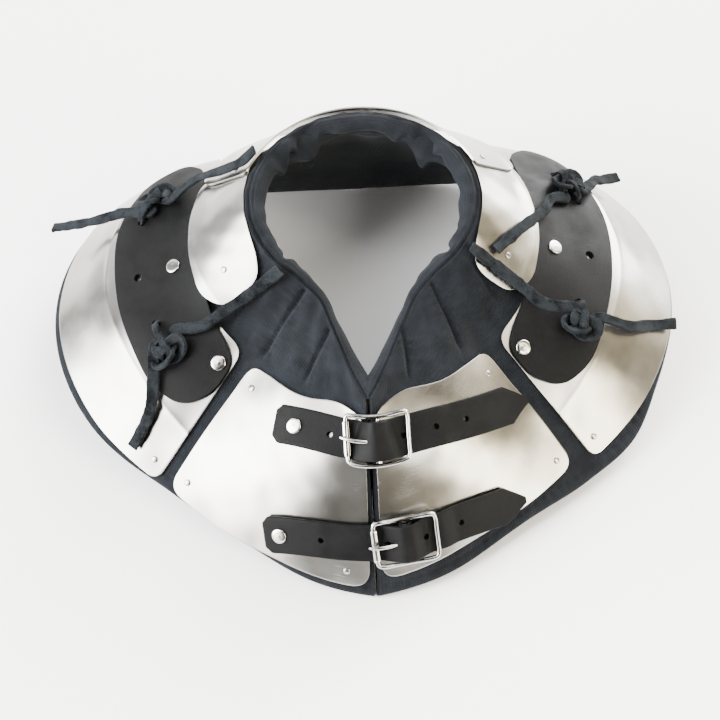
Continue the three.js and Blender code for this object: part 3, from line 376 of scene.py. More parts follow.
# turn, share and how far the curl is rolled round, in radians
KNOTS = {"left_back": (110, 0.53, -1.4), "left_front": (63.5, 0.575, 1.9),
         "right_back": (252, 0.56, -1.2), "right_front": (294, 0.6, 1.3)}
PATCH_HOLES = [(87, 0.56), (64.5, 0.63), (72, 0.56), (104, 0.58), (113.5, 0.57)]
# turn, share and mm out of the cloth for each free end
ENDS = {
    "left_back_inner": [(115.5, 0.36, 12.4), (116.5, 0.29, 12.6), (117.5, 0.15, 10.2), (120, 0.02, 8.6),
                        (123, -0.05, 9.5)],
    "left_back_outer": [(107, 0.68, 9), (106, 0.78, 12), (106, 0.9, 16.5), (105.6, 1.01, 23)],
    "left_front_inner": [(63, 0.4, 9.5), (62.6, 0.31, 9), (61.5, 0.2, 6), (60.2, 0.09, 4), (59, 0, 8)],
    "left_front_outer": [(57.5, 0.75, 8.4), (56, 0.83, 6), (55.3, 0.92, 5.5)],
    "right_back_inner": [(257.5, 0.42, 10), (262, 0.36, 10.6), (272, 0.21, 9.8), (286, 0.12, 7.6)],
    "right_back_outer": [(249, 0.75, 8.5), (247.5, 0.84, 10), (246.8, 0.94, 15.5)],
    "right_front_inner": [(294.2, 0.42, 10.4), (293.5, 0.34, 11), (292.5, 0.22, 10), (291.5, 0.1, 7.2),
                          (291, 0.01, 8)],
    "right_front_outer": [(287, 0.78, 8), (283.5, 0.87, 6), (280.5, 0.97, 8)],
}


def knot_line(name, count=140, cut=0.35):
    """A trefoil line: radius 2 + cos 3t, angle 2t, height sin 3t, with its ends open,
    then drawn out along the line between the two free ends."""
    turn, share, roll = KNOTS[name]
    way = outward(turn, share)
    side = unit(np.cross([0, 1, 0], way))
    over = np.cross(way, side)
    t = np.linspace(cut, 2 * math.pi - cut, count)
    radius, angle = KNOT_RADIUS / 3 * (2 + np.cos(3 * t)), 2 * t + roll
    flat = np.outer(radius * np.cos(angle), side) + np.outer(radius * np.sin(angle), over)
    pull = cape(*ENDS[name + "_outer"][0]) - cape(*ENDS[name + "_inner"][0])
    pull = square_to(pull, way)
    flat = flat + KNOT_PULL * np.outer(flat @ pull, pull)
    return cape(turn, share, PATCH_TOP + THONG) + flat + np.outer(THONG * KNOT_RISE * np.sin(3 * t), way)


def lace_line(name):
    """From the knot's nearer end round a smooth turn and on through the places."""
    knot = knot_line(name.rsplit("_", 1)[0])
    places = np.array([cape(turn, share, out) for turn, share, out in ENDS[name]])
    end, before = min((knot[0], knot[6]), (knot[-1], knot[-7]),
                      key=lambda pair: np.linalg.norm(pair[0] - places[0]))
    along = unit(end - before)
    first = end + 0.5 * along
    t = np.linspace(0, 1, 8)[:, None]
    a, b = first + along * 1.6 * THONG, places[0] - unit(places[1] - first) * 2.4 * THONG
    bend = (1 - t)**3 * first + 3 * (1 - t)**2 * t * a + 3 * (1 - t) * t * t * b + t**3 * places[0]
    return evenly(np.concatenate([bend, places[1:]]), 1.5)


rng = np.random.default_rng(11)


def ragged(count, sides, size, run=5):
    """Small seeded bumps that carry on for a few stations, for a torn suede edge."""
    rough = rng.normal(size=(count + run, sides))
    return size * np.stack([rough[k:k + count] for k in range(run)]).sum(0) / math.sqrt(run)


def lace_rings(path, up, width, thick, twist=0.0):
    """Flat sections with torn edges, turned a little as the strip goes along."""
    at = lengths(path) / lengths(path)[-1]
    section = np.repeat(band_section(width, thick, thick * 0.42, 3)[None], len(path), 0)
    section = section * (1 + ragged(len(path), 1, 0.06)[:, :, None])
    section = section + ragged(len(path), section.shape[1], 0.14, 3)[..., None]
    angle = twist * at + 0.2 * np.sin(at * 5)
    c, s = np.cos(angle)[:, None], np.sin(angle)[:, None]
    x, y = section[..., 0], section[..., 1]
    return sweep(path, np.stack([x * c - y * s, x * s + y * c], -1), up)


for name in ENDS:
    path = lace_line(name)
    # a strip lies flat on what it crosses, or a little turned up towards the front
    up = unit(outward(*np.mean(ENDS[name], 0)[:2]) + [0, -0.35, 0.6])
    piece = settle(tube(f"{name}_end", lace_rings(path, up, *LACE)), SUEDE, f"lace_{name}")
    long = float(lengths(path)[-1] * MM)
    print(f"  {name}: {long * 1000:.0f} mm")

# part of the way from the knot to a hole, and mm above the cloth
DIP, DIP_OUT = np.array([(-0.25, 11.5), (0.15, 13.6), (0.6, 12.4), (0.93, 9), (1.0, 6), (1.0, 2.5)]).T
for name, (turn, share, _) in KNOTS.items():
    up = outward(turn, share)
    strips = [(lace_rings(knot_line(name), up, *KNOT_STRIP, 1.2), False)]
    holes = sorted(on_side(name.split("_")[0], PATCH_HOLES), key=lambda hole: abs(hole[0] - turn))
    for hole, hole_share in holes[:2]:
        dip = cape(turn + DIP * (hole - turn), share + DIP * (hole_share - share), DIP_OUT)
        strips.append((lace_rings(evenly(dip, 1.2), up, *HOLE_STRIP, 0.5), False))
    settle(joined_tubes(f"knot_{name}", strips), SUEDE, f"lace_knot_{name}")

# %% [markdown]
# ## The quilted cloth
# The real collar is two layers of cotton with wadding between them, stitched through in
# long lines. The stitching pulls the cloth down into a groove, and the slack puckers on
# both sides. A function of place gives that height: a groove near each seam, a swell
# away from it, and short ripples square to the stitching.

# %% Seams and folds
# turn, then how far down the cloth reaches on the left and on the right; the stitched
# corner of the cape stands out at 56 degrees on the right
REACH = np.array([[0, 1.0, 1.0], [14, 0.98, 0.985], [30, 0.962, 0.972], [45, 0.962, 1.012],
                  [56, 0.976, 1.028], [66, 0.986, 0.994], [90, 0.994, 0.992],
                  [120, 1.0, 0.997], [180, 1.0, 1.0]])
LINER_THICK, RIM_THICK, HEM_BULGE = 10.0, 14.0, 0.02
# mm: depth and half width of the stitched groove and of the dip round it, then height,
# spacing and reach of the puckers
GROOVE, DIMPLE, PUCKER = (2.2, 1.7), (0.9, 5), (0.6, 7.3, 8)
# turn from the closure, then the share down to which the cloth isn't under a plate
BARE = np.array([(0, 0.12), (8, 0.15), (20, 0.22), (32, 0.27), (45, 0.36), (58, 0.36), (66, 0.05),
                 (360, 0)])
# turn and share along each line of stitching
SEAMS = [
    [(42, 0.02), (42.5, 0.19), (42.5, 0.34)], [(19, 0.02), (21.5, 0.14), (23.5, 0.26)],
    [(51.5, 0.372), (36.5, 0.308), (23.5, 0.24), (12, 0.17)],
    [(344.5, 0.01), (346.5, 0.104), (348, 0.2)], [(318, 0.02), (324, 0.204), (327, 0.31)],
]


def reach(turn):
    """How far down the cloth reaches, from the left or the right column."""
    both = curve_through(REACH[:, 0], REACH[:, 1:], half_turn(turn), level_end=True)
    return np.where(turn <= 180, both[..., 0], both[..., 1])


def stitched(points, line):
    """Distance to a seam and the place along it, for every point, in mm."""
    seam = evenly(np.array([cape(t, s) for t, s in line]), 2.5)
    best = np.full(points.shape[:-1], 1e9)
    along = np.zeros(points.shape[:-1])
    for place, at in zip(seam, lengths(seam)):
        d = np.linalg.norm(points - place, axis=-1)
        nearer = d < best
        best, along = np.where(nearer, d, best), np.where(nearer, at, along)
    return best, along


def quilt(turn, share, points):
    """The height of the cloth: a groove 2.2 mm deep at each seam in a wider dip, puckers
    7.3 mm apart that fade away from the stitching, and a slow swell. It is flat where a
    plate lies on the cloth, and a stitched line runs near the hem."""
    height = np.full(points.shape[:-1], 1.0)
    for k, line in enumerate(SEAMS):
        d, along = stitched(points, line)
        height -= GROOVE[0] * np.exp(-(d / GROOVE[1]) ** 2) + DIMPLE[0] * np.exp(-d / DIMPLE[1])
        ripple = np.sin(along * 2 * math.pi / PUCKER[1] + k + 2 * np.sin(along / 9))
        height += PUCKER[0] * np.exp(-d / PUCKER[2]) * ripple * (1 - np.exp(-(d / 2) ** 2))
    half = half_turn(turn)
    top = np.interp(half, *BARE.T) - 0.02 * (turn > 180)
    bare = np.clip((top - share) / 0.05, 0, 1)
    height = height + 0.9 * np.sin(share * 23 + half * 0.25) * np.sin(half * 0.31 + 1)
    low = np.clip((share - (reach(turn) - 0.05)) / 0.02, 0, 1)
    d = np.abs(share - (reach(turn) - 0.032)) * SHARE_MM
    hem = -0.8 * np.exp(-(d / 1.2) ** 2) + 0.35 * np.sin(turn * 3.1) * np.exp(-d / 4)
    return bare * height + low * hem - 0.1 * (1 - bare) * (1 - low)


# %% [markdown]
# ### One sheet with a round hem
# The cloth is one closed loop at every turn: down the outer face, round the hem and up
# the inner wall. Joining the loops gives a sheet with real thickness, where a flat mesh
# with a thickness added would have a square edge. The grid is finer where the quilting
# shows, and the inner wall sags in soft folds between the quilting lines.

# %% The padded collar and cape
turns = np.concatenate([np.linspace(0, 70, 200), np.linspace(70, 290, 270)[1:-1],
                        np.linspace(290, 360, 200)])[:, None]
full = np.concatenate([np.linspace(0, 0.4, 76), np.linspace(0.4, 0.9, 11)[1:],
                       np.linspace(0.9, 1, 16)[1:]])
hem_line = reach(turns)
shares = full * hem_line
outer = cape(turns, shares)
outer = outer + outward(turns, shares) * quilt(turns, shares, outer)[..., None]
round_hem = math.pi * np.linspace(0.12, 0.88, 9)
hem = cape(turns, hem_line + HEM_BULGE * np.sin(round_hem), -LINER_THICK / 2 * (1 - np.cos(round_hem)))
inside = np.linspace(1, 0, 34) * hem_line
thick = LINER_THICK + (RIM_THICK - LINER_THICK) * np.clip(1 - inside / 0.2, 0, 1)
folds = 2.2 * np.sin(np.radians(turns) * 9 + 3 * inside) + 1.3 * np.sin(np.radians(turns) * 17 - 5 * inside)
folds = folds * np.clip((turns - 100) / 25, 0, 1) * np.clip((260 - turns) / 25, 0, 1)
folds = folds * np.clip(1 - inside / 0.7, 0, 1)
for turn in (149, 219):
    folds = folds - 15 * np.exp(-((turns - turn) / 8) ** 2) * np.exp(-(inside / 0.3) ** 2)
inner = cape(turns, inside, -thick + 0.5 * folds)
rings = np.concatenate([outer, hem, inner], 1)
rings[..., 2] = np.maximum(rings[..., 2], 0.0)
cloth_uv = np.stack(np.broadcast_arrays(turns * TURN_MM, lengths(rings[180])), -1)
liner = settle(tube("quilted_liner", rings, uv=cloth_uv), CLOTH, "liner")

# %% [markdown]
# ## The rolled binding
# A band of the same cloth is rolled over the raw edge at the neck. It is gathered to
# follow the tight curve, so its inner edge waves, and at the back corners and the front
# corners it crumples into deep folds. The fold table gives where each one is, how wide it
# is and how far it pushes towards the neck.

# %% Neck binding
# turn, half width in degrees, mm towards the neck, mm up
CRUMPLES = [(130, 5, 7, -8), (139, 4.5, -4, 1), (149, 6.5, 12, -20), (160, 5, -3, -1), (202, 5, 4, -5),
            (209, 4.5, -4, 0), (219, 6.5, 12, -20), (231, 5, -3, 0), (56, 4, 5, 1), (62, 3, -4, -2),
            (290.5, 3.6, 13, -6),
            (297.5, 3.4, -5, -3), (283.5, 3, -4, 1), (306, 4, 5, 0), (319, 4, 4, 1), (268, 6, 2, 0)]


def rim_frame(turn):
    """Foot of the binding, the way in towards the neck, and the way up, at each turn."""
    foot = cape(turn, 0 * turn, -RIM_THICK / 2)
    inward = -outward(turn, 0 * turn)
    up = cape(turn, 0 * turn - 0.1) - cape(turn, 0 * turn)
    return foot, inward, square_to(up, inward)


bind_turns = np.linspace(0, 360, 1081)
foot, inward, up = (rows[:, None] for rows in rim_frame(bind_turns))
t = np.radians(bind_turns)
push_in = 0.3 * np.sin(t * 11) + 0.2 * np.sin(t * 19 + 1)
push_up = 0.35 * np.sin(t * 23 + 2)
for turn, half, inwards, upwards in CRUMPLES:
    bell = np.exp(-((bind_turns - turn) / half) ** 2)
    push_in, push_up = push_in + inwards * bell, push_up + upwards * bell
a = np.linspace(0, 2 * math.pi, 28, endpoint=False)
# half width and half height of the roll, which is squarer than a circle
ring_in = 5.9 * np.sign(np.cos(a)) * np.abs(np.cos(a)) ** 0.62
ring_up = 4.0 * np.sign(np.sin(a)) * np.abs(np.sin(a)) ** 0.8 + 1.4
pinch = 1 - 0.025 * np.sin(t * 37 + 2 * np.sin(t * 5))
lean = np.clip(np.cos(a) * 0.5 + 0.5, 0, 1)
stitch_line = np.exp(-((a - 2.4) / 0.25) ** 2)
rings_in = ring_in * pinch[:, None] + push_in[:, None] * lean
rings_up = ring_up * pinch[:, None] + push_up[:, None] * lean - stitch_line
rings = foot + inward * rings_in[..., None] + up * rings_up[..., None]
bind_uv = np.stack(np.broadcast_arrays(bind_turns[:, None] * 1.6, a * 6), -1)
binding = settle(tube("rolled_binding", rings, uv=bind_uv), CLOTH, "neck_binding")

# %% [markdown]
# ## Steel plates
# Each plate is cut to an outline with rounded corners and hammered to the form. Four of
# its corners split the outline into four sides, and a Coons patch fills them: the mean of
# the two ways across, less the flat sheet through the corners. A wall and a small bevel
# then give the cut edge, which catches the light as a thin bright line.

# %% Plate and patch outlines
# mm: bevel of the cut edges, and the room left between two layers
PLATE_EDGE, PATCH_EDGE, PATCH_THICK, ROOM_BETWEEN = 0.4, 0.9, 2.8, 0.4
# turn, share, corner radius in mm; a row without a radius is a point on a smooth side
CHEST = [(0.8, 0.13, 8), (8, 0.165), (20, 0.25), (32, 0.3), (43.5, 0.38, 9), (44, 0.65),
         (45.2, 0.96, 12), (28, 0.975), (16, 0.955), (0.8, 0.97, 14)]
SHOULDER = [(49, 0.375, 10), (62, 0.365), (76, 0.345), (90, 0.34), (108, 0.345), (128, 0.37, 10),
            (137, 0.66), (142, 0.95, 12), (120, 0.955), (90, 0.965), (60, 0.965), (47.8, 0.97, 9),
            (47, 0.66)]
COLLAR_SIDE = [(62.5, 0.1, 12), (63.5, 0.29, 9), (72, 0.35, 10), (82, 0.325), (100, 0.315), (118, 0.34, 12),
               (118, 0.02, 4), (100, 0.01), (84, 0.01), (72, 0.035)]
COLLAR_BACK = [(114, 0.015, 5), (114, 0.33, 12), (135, 0.36), (180, 0.37), (225, 0.36), (246, 0.33, 12),
               (246, 0.015, 5), (225, -0.005), (180, -0.015), (135, -0.005)]
BACK = [(146, 0.42, 10), (146, 0.93, 10), (180, 0.95), (214, 0.93, 10), (214, 0.42, 10), (180, 0.41)]
PATCH = [(49, 0.44, 8), (55, 0.395), (65, 0.36), (74, 0.325), (90, 0.31), (106, 0.32), (118, 0.38),
         (125, 0.47, 8), (126.5, 0.62, 9), (118, 0.71, 9), (106, 0.69), (90, 0.65), (74, 0.67),
         (60, 0.71, 10),
         (52, 0.69, 10), (48, 0.57)]


def drawn_in(rows):
    """The right chest plate sits a little higher and closer to the closure, and its
    lower edge is cut flatter."""
    def lift(turn, share):
        return 0.03 + 0.03 * (share > 0.9) * math.exp(-((turn - 24) / 12) ** 2)
    return [(turn * (1 - 1.4 / 45), share - lift(turn, share), *size) for turn, share, *size in rows]


def let_down(rows):
    """The right shoulder plate reaches nearly to the hem at the side."""
    return [(turn, share + 0.018 * (share > 0.9) * math.exp(-((turn - 88) / 26) ** 2), *size)
            for turn, share, *size in rows]


def outline_sides(rows, corners, count):
    """The rounded outline, split at four corners into four sides of count points."""
    flat = np.array([row[:2] for row in rows])
    t, s = np.clip(flat, [0.5, -1], [359.5, 2]).T
    # mm for a degree and for the whole share at each row
    size = np.stack([np.linalg.norm(cape(t + 0.5, s) - cape(t - 0.5, s), axis=-1),
                     np.linalg.norm(cape(t, s + 0.005) - cape(t, s - 0.005), axis=-1) * 100], -1)
    line, marks = [], []
    s = np.linspace(0, 1, 9)[:, None]
    for i, row in enumerate(rows):
        ends = []
        for other in (i - 1, (i + 1) % len(rows)):
            gap = np.linalg.norm((flat[other] - flat[i]) * size[i])
            part = min(0.45, row[2] / gap) if len(row) > 2 else 0.42
            ends.append(flat[i] + (flat[other] - flat[i]) * part)
        line.append((1 - s) ** 2 * ends[0] + 2 * s * (1 - s) * flat[i] + s * s * ends[1])
        marks.append(i * 9 + 4)
    line = np.concatenate(line)
    sides = []
    for k in range(4):
        a, b = marks[corners[k]], marks[corners[(k + 1) % 4]]
        part = np.concatenate([line[a:], line[:b + 1]]) if b < a else line[a:b + 1]
        at = lengths(part * size.mean(0))
        sides.append(at_places(np.linspace(0, at[-1], count[k % 2]), at, part))
    return sides


def coons(rows, corners, count):
    """Both ways across the four sides added, less the sheet through the corners."""
    first, second, third, fourth = outline_sides(rows, corners, count)
    third, fourth = third[::-1], fourth[::-1]
    u, v = np.linspace(0, 1, count[0])[:, None, None], np.linspace(0, 1, count[1])[None, :, None]
    corners_only = ((1 - u) * (1 - v) * first[0] + u * (1 - v) * first[-1]
                    + (1 - u) * v * third[0] + u * v * third[-1])
    return (1 - v) * first[:, None] + v * third[:, None] + (1 - u) * fourth + u * second - corners_only


def cut_sheet(name, rows, corners, foot, thick, bevel, count, relief=None):
    """The sheet's outer face as a grid, then its wall and rounded edge."""
    flat = coons(rows, corners, count)
    turn, share = np.clip(flat[..., 0], 0, 360), flat[..., 1]
    low = foot(share) if callable(foot) else foot
    grid = cape(turn, share, low + thick + (relief(turn, share) if relief else 0 * turn))
    piece = put_mesh(name, grid, [quads(*count)], np.stack([turn * TURN_MM, share * SHARE_MM], -1))
    # an open sheet has no inside, so its way out is set from the cloth's
    if np.dot(np.array(piece.data.polygons[0].normal), outward(turn[0, 0], share[0, 0])) < 0:
        piece.data.flip_normals()
    edge = dict(width=bevel * MM, segments=3, limit_method="ANGLE", angle_limit=math.radians(55))
    return bake(piece, ("SOLIDIFY", dict(thickness=thick * MM, offset=-1)), ("BEVEL", edge))


def plate(name, node, *shape):
    """A steel plate: its outline, four corners, foot, points each way and relief."""
    rows, corners, foot, *rest = shape
    settle(cut_sheet(name, rows, corners, foot, PLATE_THICK, PLATE_EDGE, *rest), STEEL, node)


def hammered(turn, share):
    """Slow hollows of a few tenths of a mm, as hand-worked sheet has."""
    return (0.22 * np.sin(turn * 0.19 + share * 9) * np.sin(share * 13 - turn * 0.07)
            + 0.10 * np.sin(turn * 0.53 + 2) * np.sin(share * 31 + 1))


def shoulder_crease(turn, share):
    """The long crease where the flange was folded down, a low crisp ridge."""
    line = 0.705 + 0.035 * ((half_turn(turn) - 84) / 30) ** 2
    return hammered(turn, share) + 0.75 * np.exp(-np.abs(share - line) * SHARE_MM / 3.2)


def collar_foot(share):
    """Side collar plates stand off the cloth towards their foot, to pass over the patch."""
    return PLATE_FOOT + (PATCH_TOP + ROOM_BETWEEN - PLATE_FOOT) * np.clip(share / 0.3, 0, 1)


def back_foot(share):
    """The back collar plate lies over the ends of the side ones."""
    return collar_foot(share) + PLATE_THICK + ROOM_BETWEEN


# %% [markdown]
# ### The eight plates
# The pairs share one outline each. The right one is mirrored, and where the photo shows
# that it was cut a little otherwise, its outline is changed first.

# %% Steel plates
for side in ("left", "right"):
    chest, shoulder = on_side(side, CHEST, drawn_in), on_side(side, SHOULDER, let_down)
    plate(f"chest_{side}", f"chest_plate_{side}", chest, (0, 4, 6, 9), PLATE_FOOT, (110, 110), hammered)
    plate(f"shoulder_{side}", f"shoulder_plate_{side}", shoulder, (0, 5, 7, 11), PLATE_FOOT, (150, 110),
          shoulder_crease)
    plate(f"collar_{side}", f"collar_plate_{side}", on_side(side, COLLAR_SIDE), (1, 5, 6, 0), collar_foot,
          (90, 60), hammered)
plate("collar_back", "collar_plate_back", COLLAR_BACK, (0, 1, 5, 6), back_foot, (50, 160))
plate("back_sheet", "back_plate", BACK, (0, 1, 3, 4), PLATE_FOOT, (70, 80), hammered)

# %% [markdown]
# ## Leather patches
# The shoulder patches are cut from thick belt leather. Lace holes are punched through, so
# a boolean with small cylinders is the plain way to make them. The cylinders are only a
# tool, and go once the holes are cut.

# %% Shoulder patches
def punched(piece, places, ways, radius, deep):
    """Round holes, cut through the piece with a mesh of pegs."""
    pegs = turned("punch", places, ways, [(radius, -deep), (radius, deep)], 24, [0.3, 0.9, 0.2])
    bake(piece, ("BOOLEAN", dict(operation="DIFFERENCE", object=pegs, solver="EXACT")))
    bpy.data.objects.remove(pegs)


def worn(turn, share):
    """The patch sags a little between its rivets, as thick leather does."""
    return 0.35 * np.sin(turn * 0.23) * np.sin(share * 17)


for side in ("left", "right"):
    patch = cut_sheet(f"patch_{side}", on_side(side, PATCH), (0, 7, 8, 14), PATCH_FOOT, PATCH_THICK,
                      PATCH_EDGE, (170, 60), worn)
    turn, share = np.array(on_side(side, PATCH_HOLES)).T
    punched(patch, cape(turn, share, 3.5), outward(turn, share), 3.0, 8.0)
    settle(patch, LEATHER, f"shoulder_patch_{side}")

# %% [markdown]
# ## Straps
# A strap is a band with a rounded edge, carried along a line on the plates. Its height
# above them changes where it passes under the roller, over the buckle's bar and over the
# chape that holds the buckle. The heights are joined by straight runs and then eased, as
# leather won't bend sharply.

# %% The line of each strap
STRAP_FOOT, STRAP_WIDTH, STRAP_THICK, CHAPE_THICK = 3.3, 25.0, 2.5, 2.0
# places along the middle line (the rivet is at the second), and mm from the closure of the
# buckle's bar, the holes and the end of the chape; tail is the part of the line in use
STRAPS = {
    "upper": dict(places=[(26.5, 0.41), (20.8, 0.357), (11.3, 0.307), (0, 0.262), (-5.9, 0.288),
                 (-14.3, 0.332),
                          (-23, 0.394), (-33.3, 0.505), (-44.5, 0.64)],
                  bar=7, tail=0.955, holes=[-25, 23, 45, 67], chape=46),
    "lower": dict(places=[(22.2, 0.878), (18.8, 0.842), (11.9, 0.79), (0, 0.762), (-8.2, 0.777),
                 (-13.9, 0.785),
                          (-21.1, 0.822), (-29.1, 0.878), (-32, 0.9)],
                  bar=21, tail=0.95, holes=[-33, 9, 33, 58], chape=42),
}


def eased(rows, width):
    """A running mean along the first axis, with the ends held."""
    k = np.hanning(width + 2)[1:-1]
    padded = np.concatenate([np.repeat(rows[:1], width // 2, 0), rows, np.repeat(rows[-1:], width // 2, 0)])
    return np.stack([np.convolve(column, k / k.sum(), mode="valid") for column in padded.T], -1)


def strap_line(places):
    """Points 1 mm apart on the strap's middle line with its ways out and down; the place
    along it is counted from the closure."""
    places = np.array(places, float)
    legs = [np.linspace(a, b, 60, endpoint=False) for a, b in zip(places[:-1], places[1:])]
    turn, share = np.concatenate(legs + [places[-1:]]).T
    ring = np.where(turn < 0, turn + 360, turn)
    raw = cape(ring, share, STRAP_FOOT)
    at = lengths(raw)
    want = np.arange(0, at[-1], 1.0)
    line, way, counted = (at_places(want, at, rows) for rows in (raw, outward(ring, share), turn[:, None]))
    point = eased(line, 21)
    point[[0, -1]] = line[[0, -1]]
    along = unit(np.gradient(point, axis=0))
    out = square_to(unit(eased(way, 31)), along)
    down = unit(np.cross(along, out))
    down = np.where(down[:, 2:3] > 0, -down, down)
    # stiff leather runs straight past the ridge at the closure: it shifts sideways only
    point = point + down * dot(eased(point, 71) - point, down)
    return dict(at=want - np.interp(0, -counted[:, 0], want), point=point, out=out, down=down)


def beside(line, at, high, down):
    """Points at mm along a strap line, high above its foot and down across it."""
    point, out, across = (at_places(at, line["at"], line[key]) for key in ("point", "out", "down"))
    return point + out * np.asarray(high, float)[..., None] + across * np.asarray(down, float)[..., None]


# mm: the parts of a buckle, their heights above the strap's foot and places round the bar
WIRE, BUCKLE_LONG, BUCKLE_INSIDE, ROLLER = 3.0, 40.0, 28.0, 4.8
EYE_OUT = WIRE / 2 + 0.6 + CHAPE_THICK
BAR_HIGH = EYE_OUT
OVER_EYE, OVER_CHAPE = BAR_HIGH + EYE_OUT + ROOM_BETWEEN, CHAPE_THICK + ROOM_BETWEEN
ROLLER_HIGH = STRAP_THICK + ROOM_BETWEEN + ROLLER / 2
KEEPER_HIGH = OVER_CHAPE + STRAP_THICK + ROOM_BETWEEN + WIRE / 2
ROLLER_AT, KEEPER_AT, RAIL = -BUCKLE_LONG / 2, BUCKLE_LONG / 2 - WIRE / 2, BUCKLE_INSIDE / 2 + WIRE / 2


def end_corner(away, corner):
    """Half width, as a share, where a band's end has corners rounded by a quarter circle:
    away is the distance from the end."""
    near = 1 - np.clip(away / corner, 0.02, 1)
    return 1 - corner / (STRAP_WIDTH / 2) * (1 - np.sqrt(1 - near ** 2))


def band(name, line, at, high, half, thick):
    """A band whose section is set square to its own line, so it keeps its thickness."""
    point = beside(line, at, high, 0)
    out = beside(line, at, high + 1, 0) - point
    down = beside(line, at, high, 1) - point
    up = unit(np.cross(down, unit(np.gradient(point, axis=0))))
    up = up * np.sign(dot(up, out))
    across, rise = band_section(STRAP_WIDTH, thick, thick * 0.36, 11).T[..., None]
    rings = point[:, None] + down[:, None] * (across * half[:, None, None]) + up[:, None] * rise
    return tube(name, rings, uv=np.stack(np.broadcast_arrays(lengths(point)[:, None], across[:, 0]), -1))


# %% [markdown]
# ### Heights along a strap
# A few heights are set at places counted from the buckle's bar, and a running mean takes
# the corners off. The chape is a band too: it runs to the bar and turns back round it.

# %% Straps and chapes
lines = {}
for name, strap in STRAPS.items():
    line = lines[name] = strap_line(strap["places"])
    bar, start, end = strap["bar"], line["at"][0], line["at"][-1] * strap["tail"]
    keys = [(start, 0), (bar + ROLLER_AT + 5, 0), (bar - 3.4, OVER_EYE), (bar + 3.4, OVER_EYE),
            (bar + 13, OVER_CHAPE), (strap["chape"] + 3, OVER_CHAPE), (strap["chape"] + 12, 0), (end, 0)]
    at = np.concatenate([np.linspace(start, start + 5, 16)[:-1], np.linspace(start + 5, end, 280)])
    high = eased(np.interp(at, *zip(*keys))[:, None], 9)[:, 0] + STRAP_THICK / 2
    # a near end with round corners and a pointed far one
    point = np.clip(0.16 + 0.84 * (end - at) / (STRAP_WIDTH * 0.62), 0.05, 1)
    half = np.minimum(end_corner(at - start, 5), point)
    leather = band(f"strap_{name}_band", line, at, high, half, STRAP_THICK)
    spots = np.array(strap["holes"], float)
    height = np.interp(spots, at, high)
    middle = beside(line, spots, height, 0)
    punched(leather, middle, unit(beside(line, spots, height + 1, 0) - middle), 2.0, 5.0)
    settle(leather, LEATHER, f"strap_{name}")

    turn = np.linspace(-math.pi / 2, -2 * math.pi, 30)
    middle = EYE_OUT - CHAPE_THICK / 2
    run = np.arange(strap["chape"], bar + 0.5, -1.0)
    at = np.concatenate([run, bar + middle * np.cos(turn)])
    high = np.concatenate([np.full(len(run), CHAPE_THICK / 2), BAR_HIGH + middle * np.sin(turn)])
    chape = band(f"chape_{name}_band", line, at, high, end_corner(strap["chape"] - at, 4), CHAPE_THICK)
    settle(chape, LEATHER, f"chape_{name}")

# %% [markdown]
# ## Buckles
# A roller buckle is bent from wire: a loop, a bar across it for the eye of the chape, a
# loose tube on the far side, and a prong that lies across the tube. Round wire along a
# smooth line is a circle swept along it.

# %% Buckles
def wire(spots, radius, joined=False, taper=([0, 1], [1, 1])):
    """Round wire along spots, with the corners eased, as (rings, joined round)."""
    spots = np.asarray(spots)
    if joined:
        ring = np.concatenate([spots[-3:], spots, spots[:3]])
        at = lengths(ring)
        path = curve_through(at, ring, np.linspace(at[3], at[3 + len(spots)], 120, endpoint=False))
        third = len(spots) // 3
        out = unit(np.cross(spots[third] - spots[0], spots[2 * len(spots) // 3] - spots[0]))
    else:
        path, out = evenly(spots, 0.8), np.array([0.13, 0.21, 0.97])
    size = np.interp(np.linspace(0, 1, len(path)), *taper)
    return sweep(path, round_section(radius, 14) * size[:, None, None], out, joined), joined


# along the strap from the bar, height, and across it: one half of the loop
LOOP = [(ROLLER_AT, ROLLER_HIGH, RAIL * 0.4), (ROLLER_AT, ROLLER_HIGH, RAIL - 4),
        (ROLLER_AT + 0.9, ROLLER_HIGH, RAIL - 0.9), (ROLLER_AT + 4, ROLLER_HIGH, RAIL),
        (ROLLER_AT + 9, (ROLLER_HIGH + BAR_HIGH) / 2, RAIL), (0, BAR_HIGH, RAIL),
        (KEEPER_AT - 9, (KEEPER_HIGH + BAR_HIGH) / 2, RAIL), (KEEPER_AT - 4, KEEPER_HIGH - 0.4, RAIL),
        (KEEPER_AT - 0.9, KEEPER_HIGH, RAIL - 0.9), (KEEPER_AT, KEEPER_HIGH, RAIL - 4),
        (KEEPER_AT, KEEPER_HIGH, RAIL * 0.4)]
BAR_WIRE, PRONG_WIRE, EYE_WIRE, EYE_RING = 1.25, 1.35, 0.9, 3.0
OVER_ROLLER = ROLLER_HIGH + ROLLER / 2 + 0.35 + 1.3
PRONG = [(-2.9, BAR_HIGH + 0.4, 0), (-EYE_OUT - 2, BAR_HIGH + 2.6, 0),
         (-EYE_OUT - 8.5, OVER_ROLLER - 0.5, 0), (ROLLER_AT, OVER_ROLLER, 0),
         (ROLLER_AT - 3.6, OVER_ROLLER - 0.5, 0)]

